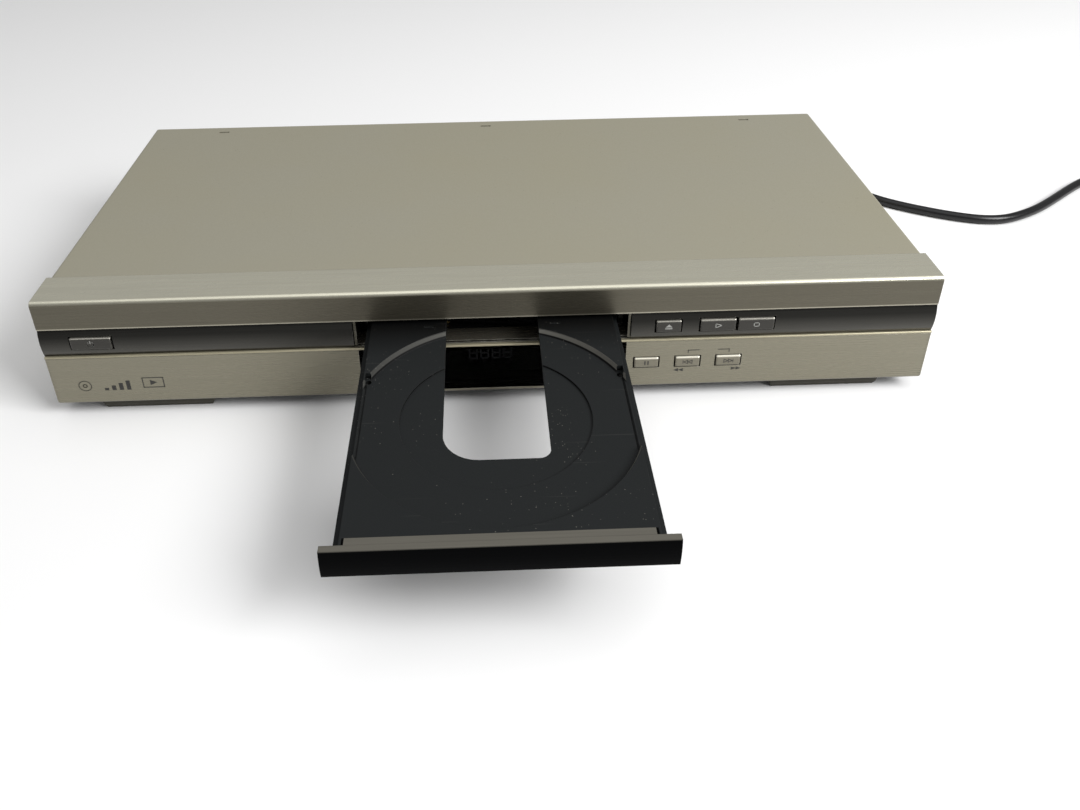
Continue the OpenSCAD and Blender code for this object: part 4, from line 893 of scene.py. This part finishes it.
@dataclass
class FrontPanel(SubAssembly):
    """Bezel, bands, trim, window and the marks printed on them."""

    panel_y: float = -0.2
    disc_at: Flat = (-199.7, 18.3)
    disc_radii: Flat = (3, 0.9)
    bars: Box = (-190.6, 15.2, -188.6, 16.7)
    bar_step: Flat = (3.6, 1.4)
    screen: Box = (-171.5, 16.4, -161.5, 22.2)
    pointer: Flats = ((-168, 17.7), (-164.6, 19.3), (-168, 20.9))
    arrows: Flats = ((91.6, -1), (120.4, 1))  # middle and direction
    arrow_z: float = 17
    arrow: Flat = (2.4, 1)
    brackets: Flats = ((95.8, 101), (116, 110.6))  # post and inner end
    bracket_z: Flat = (27.4, 29)
    line: float = 0.4
    screen_line: float = 0.5
    bracket_line: float = 0.45

    def build(self) -> None:
        """Dress the front's nodes and print its marks."""
        self.dress({FACE_SILVER: "front_bezel", BAND_GREY: "left_band right_band",
                    BRIGHT_TRIM: "trim_strip", SMOKED: "display_window"})
        self.marks("panel_marks", self.left_marks() + self.key_marks(), DARK_PRINT_AND_SHADE, self.panel_y)

    def left_marks(self) -> list[Array]:
        """Outlines at the left.

        Returns:
            Two rings for a disc, four rising level bars and a screen with a pointer in it.
        """
        lines = [side for r in self.disc_radii for side in loop(disc(*self.disc_at, r, 20), self.line)]
        x0, z0, x1, z1 = self.bars
        across, rise = self.bar_step
        lines += [bar(x0 + across * k, z0, x1 + across * k, z1 + rise * k) for k in range(4)]
        return lines + loop(bar(*self.screen), self.screen_line) + [np.array(self.pointer)]

    def key_marks(self) -> list[Array]:
        """Outlines at the skip keys.

        Returns:
            Two arrow heads on the outer side of each key, and half a bracket over each.
        """
        lines, z, (long, half) = [], self.arrow_z, self.arrow
        for x, way in self.arrows:
            for base in (x - way * long, x):
                head = [(base, z - half), (base + way * long, z), (base, z + half)]
                lines.append(np.array(head[:: int(way)]))
        low, high = self.bracket_z
        for x, inner in self.brackets:
            ends = ((x, low), (x, high)), ((x, high), (inner, high))
            lines += [stroke(a, b, self.bracket_line) for a, b in ends]
        return lines


@dataclass
class Keys(SubAssembly):
    """The seven push keys and the symbol on each: four on the band, three on the lower panel."""

    band: tuple[str, ...] = ("power", "eject", "play", "stop")
    band_x: tuple[float, ...] = (-190.9, 84.9, 108.9, 127.4)
    band_face: Flat = (-1.45, 44.2)  # y of the keys' faces and z of their middles
    panel: tuple[str, ...] = ("pause", "skip_back", "skip_forward")
    panel_x: tuple[float, ...] = (75.4, 95.8, 116)
    panel_face: Flat = (-1, 22.4)
    line: float = 0.36

    def symbols(self) -> dict[str, list[Array]]:
        """Symbols about the middle of their key.

        Returns:
            The outlines of each by the key's name: an open ring with a bar, a wedge over a bar, a
            triangle, a square, two bars, and two triangles against a bar to either side.
        """
        w = self.line
        arc = disc(0, -0.1, 1.4, 24)[np.arange(-15, 4) % 24]
        ring = [stroke(a, b, w) for a, b in zip(arc, arc[1:])]
        return {
            "power": ring + [bar(-w / 2, 0.2, w / 2, 1.9)],
            "eject": [np.array([[-1.7, -0.2], [1.7, -0.2], [0, 1.5]]), bar(-1.7, -1.3, 1.7, -0.7)],
            "play": loop([(-1.3, -1.2), (1.7, 0), (-1.3, 1.2)], w),
            "stop": loop(bar(-1.2, -1, 1.2, 1), w),
            "pause": [bar(-1.1, -1.2, -0.45, 1.2), bar(0.45, -1.2, 1.1, 1.2)],
            "skip_back": self.skip(-1), "skip_forward": self.skip(1)}

    def skip(self, way: float) -> list[Array]:
        """Skip symbol.

        Args:
            way: -1 for left, 1 for right.

        Returns:
            Outlines of two open triangles that point that way, and of a bar behind them.
        """
        tips = [[(way * (k - 1), -1), (way * (k + 1), 0), (way * (k - 1), 1)] for k in (-1.2, 1)]
        sides = [side for tip in tips for side in loop(tip, self.line)]
        return sides + [bar(way * 2.3 - 0.15, -1.1, way * 2.3 + 0.15, 1.1)]

    def build(self) -> None:
        """Dress the keys and print their symbols."""
        symbols = self.symbols()
        for names, places, (face, z), finish, ink in (
                (self.band, self.band_x, self.band_face, KEY_GREY, PRINT_PALE),
                (self.panel, self.panel_x, self.panel_face, KEY_SILVER, DARK_PRINT_AND_SHADE)):
            for name, x in zip(names, places):
                lines = [line + [x, z] for line in symbols[name]]
                self.dress({finish: f"{name}_key"})
                self.marks(f"{name}_symbol", lines, ink, face, body=f"{name}_key")


@dataclass
class Display(SubAssembly):
    """Display tube and its four faint characters."""

    left: float = -12.3
    step: float = 5.625
    low: float = 24.5
    high: float = 30.9
    sides: Flat = (0.7, 4.325)  # left and right bars of a character, from where it starts
    line: float = 0.5
    gap: float = 0.4
    face_y: float = 4.5

    def build(self) -> None:
        """Dress the tube and draw four seven-bar characters on its face."""
        self.dress({DISPLAY_GLASS: "display_tube"})
        half, gap, middle = self.line / 2, self.gap, (self.low + self.high) / 2
        lines: list[Array] = []
        for k in range(4):
            a, b = (self.left + k * self.step + side for side in self.sides)
            lines += [bar(a + gap, z - half, b - gap, z + half) for z in (self.low, middle, self.high)]
            lines += [bar(x - half, low + gap, x + half, high - gap)
                      for x in (a, b) for low, high in ((self.low, middle), (middle, self.high))]
        self.marks("display_segments", lines, SEGMENT, self.face_y)


@dataclass
class Casing(SubAssembly):
    """Cover, pan, rear panel, feet and screws, with a dark cross on each screw head: painted shade of its
    slot.
    """

    side_screws: Flat = (60, 150)
    side_z: float = 30
    rear_screws: tuple[float, ...] = (-150, 0, 150)
    rear_drop: float = 3
    slot: Flat = (3, 0.6)

    def build(self) -> None:
        """Dress the casing's nodes and lay a dark cross on each screw head: painted shade where its cross
        slot would be.
        """
        self.dress({COVER_PAINT: "top_cover", STEEL: "base_pan", REAR_STEEL: "rear_panel",
                    SCREW_STEEL: "cover_screws inner_screws", FOOT_GREY: "front_feet",
                    RUBBER: "rear_feet"})
        low, high = (np.array(v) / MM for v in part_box("cover_screws"))
        z = high[2] - self.rear_drop
        for facing, level, spots in (
                (Facing.REAR, high[1] - ROW_Y, [(-x, z) for x in self.rear_screws]),
                (Facing.RIGHT, high[0], [(y, self.side_z) for y in self.side_screws]),
                (Facing.LEFT, low[0], [(-y, self.side_z) for y in self.side_screws])):
            # A dark cross on each screw head: painted shade of a cross slot.
            lines = [line for spot in spots for line in self.cross(*spot)]
            self.marks(f"{facing.name.lower()}_screw_crosses", lines, DARK_PRINT_AND_SHADE, level, facing, 0.02)

    def cross(self, x: float, z: float) -> list[Array]:
        """Two bars of a dark cross, the painted shade of a cross slot, the second in two halves beside the
        first.
        """
        a, b = self.slot[0] / 2, self.slot[1] / 2
        return [bar(*box) + [x, z] for box in ((-a, -b, a, b), (-b, -a, b, -b), (-b, b, b, a))]


@dataclass
class RearPanel(SubAssembly):
    """Coloured rings of the jacks, the small round socket's contacts, print and a bare plate."""

    columns: tuple[float, ...] = (-186, -172, -158, -138, -124)
    rows: Flat = (22, 38)
    upper: tuple[str, ...] = ("green", "blue", "red", "white", "red")
    lower: tuple[str, ...] = ("yellow", "white", "red", "orange", "black")
    rear_y: float = 196
    jack_out: float = 9
    ring: Flats = (
        (1.65, -0.6), (3.35, -0.6), (3.35, 0.25), (3.1, 0.5), (1.95, 0.5), (1.65, 0.25))
    socket: Point = (106, 23, 4.3)  # this and what follows as seen from behind
    floor_in: float = 4
    pins_in: float = 3.4
    pin: float = 0.45
    plate: Box = (14, 20, 72, 50)
    border_in: float = 1.5
    border: float = 0.3
    foil: float = 0.08
    line: float = 0.35
    beside: float = 5
    under: float = 6
    over: Flat = (5.4, 4.7)  # the line over the jacks and the lower ends of its ticks

    def build(self) -> None:
        """Make the rings by colour, the contacts, the print and the plate."""
        self.rings()
        self.contacts()
        self.print()

    def rings(self) -> None:
        """Turn the insulating ring once and set a copy into each jack's mouth, a piece for each colour."""
        spots: dict[str, list[Point]] = {}
        for z, names in zip(self.rows, (self.lower, self.upper)):
            for x, name in zip(self.columns, names):
                spots.setdefault(name, []).append((x, self.rear_y + self.jack_out, z))
        points, faces = (np.array(v) for v in revolve(np.array(self.ring), 32))
        for name, centres in spots.items():
            shift = len(points) * np.arange(len(centres))[:, None, None]
            copies = (points + np.array(centres)[:, None]).reshape(-1, 3)
            colour = RING_COLOURS[name]
            finish = Finish(f"ring_{name}", colour, tuple(c * 0.82 for c in colour), (0.3, 0.42))
            self.piece(f"jack_rings_{name}", (copies, (faces + shift).reshape(-1, 4).tolist()), finish)

    def contacts(self) -> None:
        """Make the round socket's floor with four contacts and a key."""
        x, z, r = self.socket
        pins = [disc(x + dx, z + dz, self.pin) for dx in (-1.9, 1.9) for dz in (-1.2, 1.5)]
        key = bar(x - 0.8, z - 3.6, x + 0.8, z - 2.4)
        for name, lines, finish, sunk, thick in (
                ("floor", [disc(x, z, r, 32)], DARK_PART, self.floor_in, 0.3),
                ("pins", pins, BRASS, self.pins_in, 0.6), ("key", [key], DARK_PART, self.pins_in, 0.6)):
            self.marks(f"round_socket_{name}", lines, finish, self.rear_y - sunk, Facing.REAR, thick)

    def print(self) -> None:
        """Print a line over and under each group of jacks and lay on a bare plate with a thin border."""
        low, high = self.rows
        line, tick = (high + over for over in self.over)
        lines: list[Array] = []
        for a, b in ((0, 2), (3, 4)):
            left, right = -self.columns[b] - self.beside, -self.columns[a] + self.beside
            lines += [stroke((left, z), (right, z), self.line) for z in (low - self.under, line)]
        lines += [stroke((-x, line), (-x, tick), self.line) for x in self.columns]
        self.marks("rear_marks", lines, DARK_PRINT_AND_SHADE, self.rear_y, Facing.REAR)
        self.marks("rear_plate", [bar(*self.plate)], PLATE_FOIL, self.rear_y, Facing.REAR, self.foil)
        x0, z0, x1, z1 = self.plate
        k = self.border_in
        border = loop(bar(x0 + k, z0 + k, x1 - k, z1 - k), self.border)
        self.marks("rear_plate_border", border, DARK_PRINT_AND_SHADE, self.rear_y + self.foil, Facing.REAR, 0.02)


class Tray(SubAssembly):
    """Disc tray and its front."""

    def build(self) -> None:
        """Dress the tray's nodes."""
        self.dress({TRAY_BLACK: "disc_tray", DOOR_BLACK: "tray_front"})


class Mechanism(SubAssembly):
    """Loader, gear train, deck and pickup."""

    def build(self) -> None:
        """Dress the mechanism's nodes."""
        self.dress({BLACK_PLASTIC: "loader_frame optical_deck turntable cam_slider",
                    DARK_PART: "disc_clamper clamp_bridge pulley_gear",
                    STEEL: "guide_rods sled_motor spindle_motor loading_motor",
                    NATURAL: "tray_gear", BRASS: "motor_pulley lead_screw",
                    RUBBER: "drive_belt turntable_ring", CAST: "pickup", LENS: "objective_lens"})


@dataclass
class Electronics(SubAssembly):
    """Boards and what stands on them, with legs on the chips and rows of small parts."""

    board_top: float = 19.2
    chips: tuple[Box, ...] = ((-150, 95, -122, 123), (-112, 88, -94, 100), (-112, 108, -94, 120),
                              (-186, 90, -170, 112), (-184, 126, -172, 134))
    leg: Point = (0.4, 1.6, 0.5)
    leg_pitch: float = 1.27
    leg_ends: Flat = (1.2, 1)
    kept_free: tuple[Box, ...] = ((-204, 62, -188, 76), (-204, 150, -186, 166), (-90, 60, -72, 76),
                                  (-92, 82, -66, 102), (-90, 150, -74, 166))
    clearance: Box = (-4, -4, 3, 4)
    part: Point = (2, 1.2, 0.7)
    part_from: Flat = (-191, 72)
    part_pitch: Flat = (3.2, 4)
    part_spots: tuple[int, int] = (34, 22)
    draws: int = 260
    seed: int = 7

    def legs(self) -> Shape:
        """Chip legs.

        Returns:
            A row of small blocks along each long side of every chip, a pitch apart.
        """
        wide, long, high = self.leg
        first, last = self.leg_ends
        lows = [(x - wide / 2, y, self.board_top)
                for x0, y0, x1, y1 in self.chips
                for x in np.arange(x0 + first, x1 - last, self.leg_pitch)
                for y in (y0 - long, y1)]
        return blocks(np.array(lows), np.array(lows) + [wide, long, high])

    def small_parts(self) -> Shape:
        """Small flat parts on the main board.

        Returns:
            Blocks in seeded places of a grid, each place taken once, clear of chips and towers.
        """
        rng = np.random.default_rng(self.seed)
        spots = np.stack([rng.integers(0, count, self.draws) * pitch + start for count, pitch, start in
                          zip(self.part_spots, self.part_pitch, self.part_from)], -1)
        spots = np.unique(spots, axis=0)[:, None]
        boxes = np.array(self.chips + self.kept_free) + self.clearance
        taken = ((spots > boxes[:, :2]) & (spots < boxes[:, 2:])).all(-1).any(-1)
        low = np.insert(spots[~taken, 0], 2, self.board_top, axis=1)
        return blocks(low, low + self.part)

    def build(self) -> None:
        """Dress the boards' nodes and add the legs and small parts."""
        self.dress({BOARD: "display_board key_board main_board", POWER_BOARD: "power_board",
                    BLACK_PLASTIC: "board_chips jack_block key_switches", DARK_PART: "capacitors",
                    WINDING: "transformer", CAST: "heat_sink", NICKEL: "jack_pins",
                    NATURAL: "flat_cable"})
        self.piece("chip_legs", self.legs(), SCREW_STEEL)
        self.piece("board_parts", self.small_parts(), DARK_PART)


def corners(box: tuple) -> list[list[float]]:
    """Plain lists of a box's two corners."""
    return [[float(v) for v in corner] for corner in box]


def main() -> None:
    """Build everything in order."""
    logging.basicConfig(level=logging.INFO, format="%(name)s: %(message)s")
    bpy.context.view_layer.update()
    effects, studio = Effects(), Studio()
    studio.camera()
    MainsCord(effects).build()
    studio.floor(effects)
    studio.lights()
    for part in (FrontPanel, Keys, Display, Casing, RearPanel, Tray, Mechanism, Electronics):
        part(effects).build()


if __name__ == "__main__":
    main()
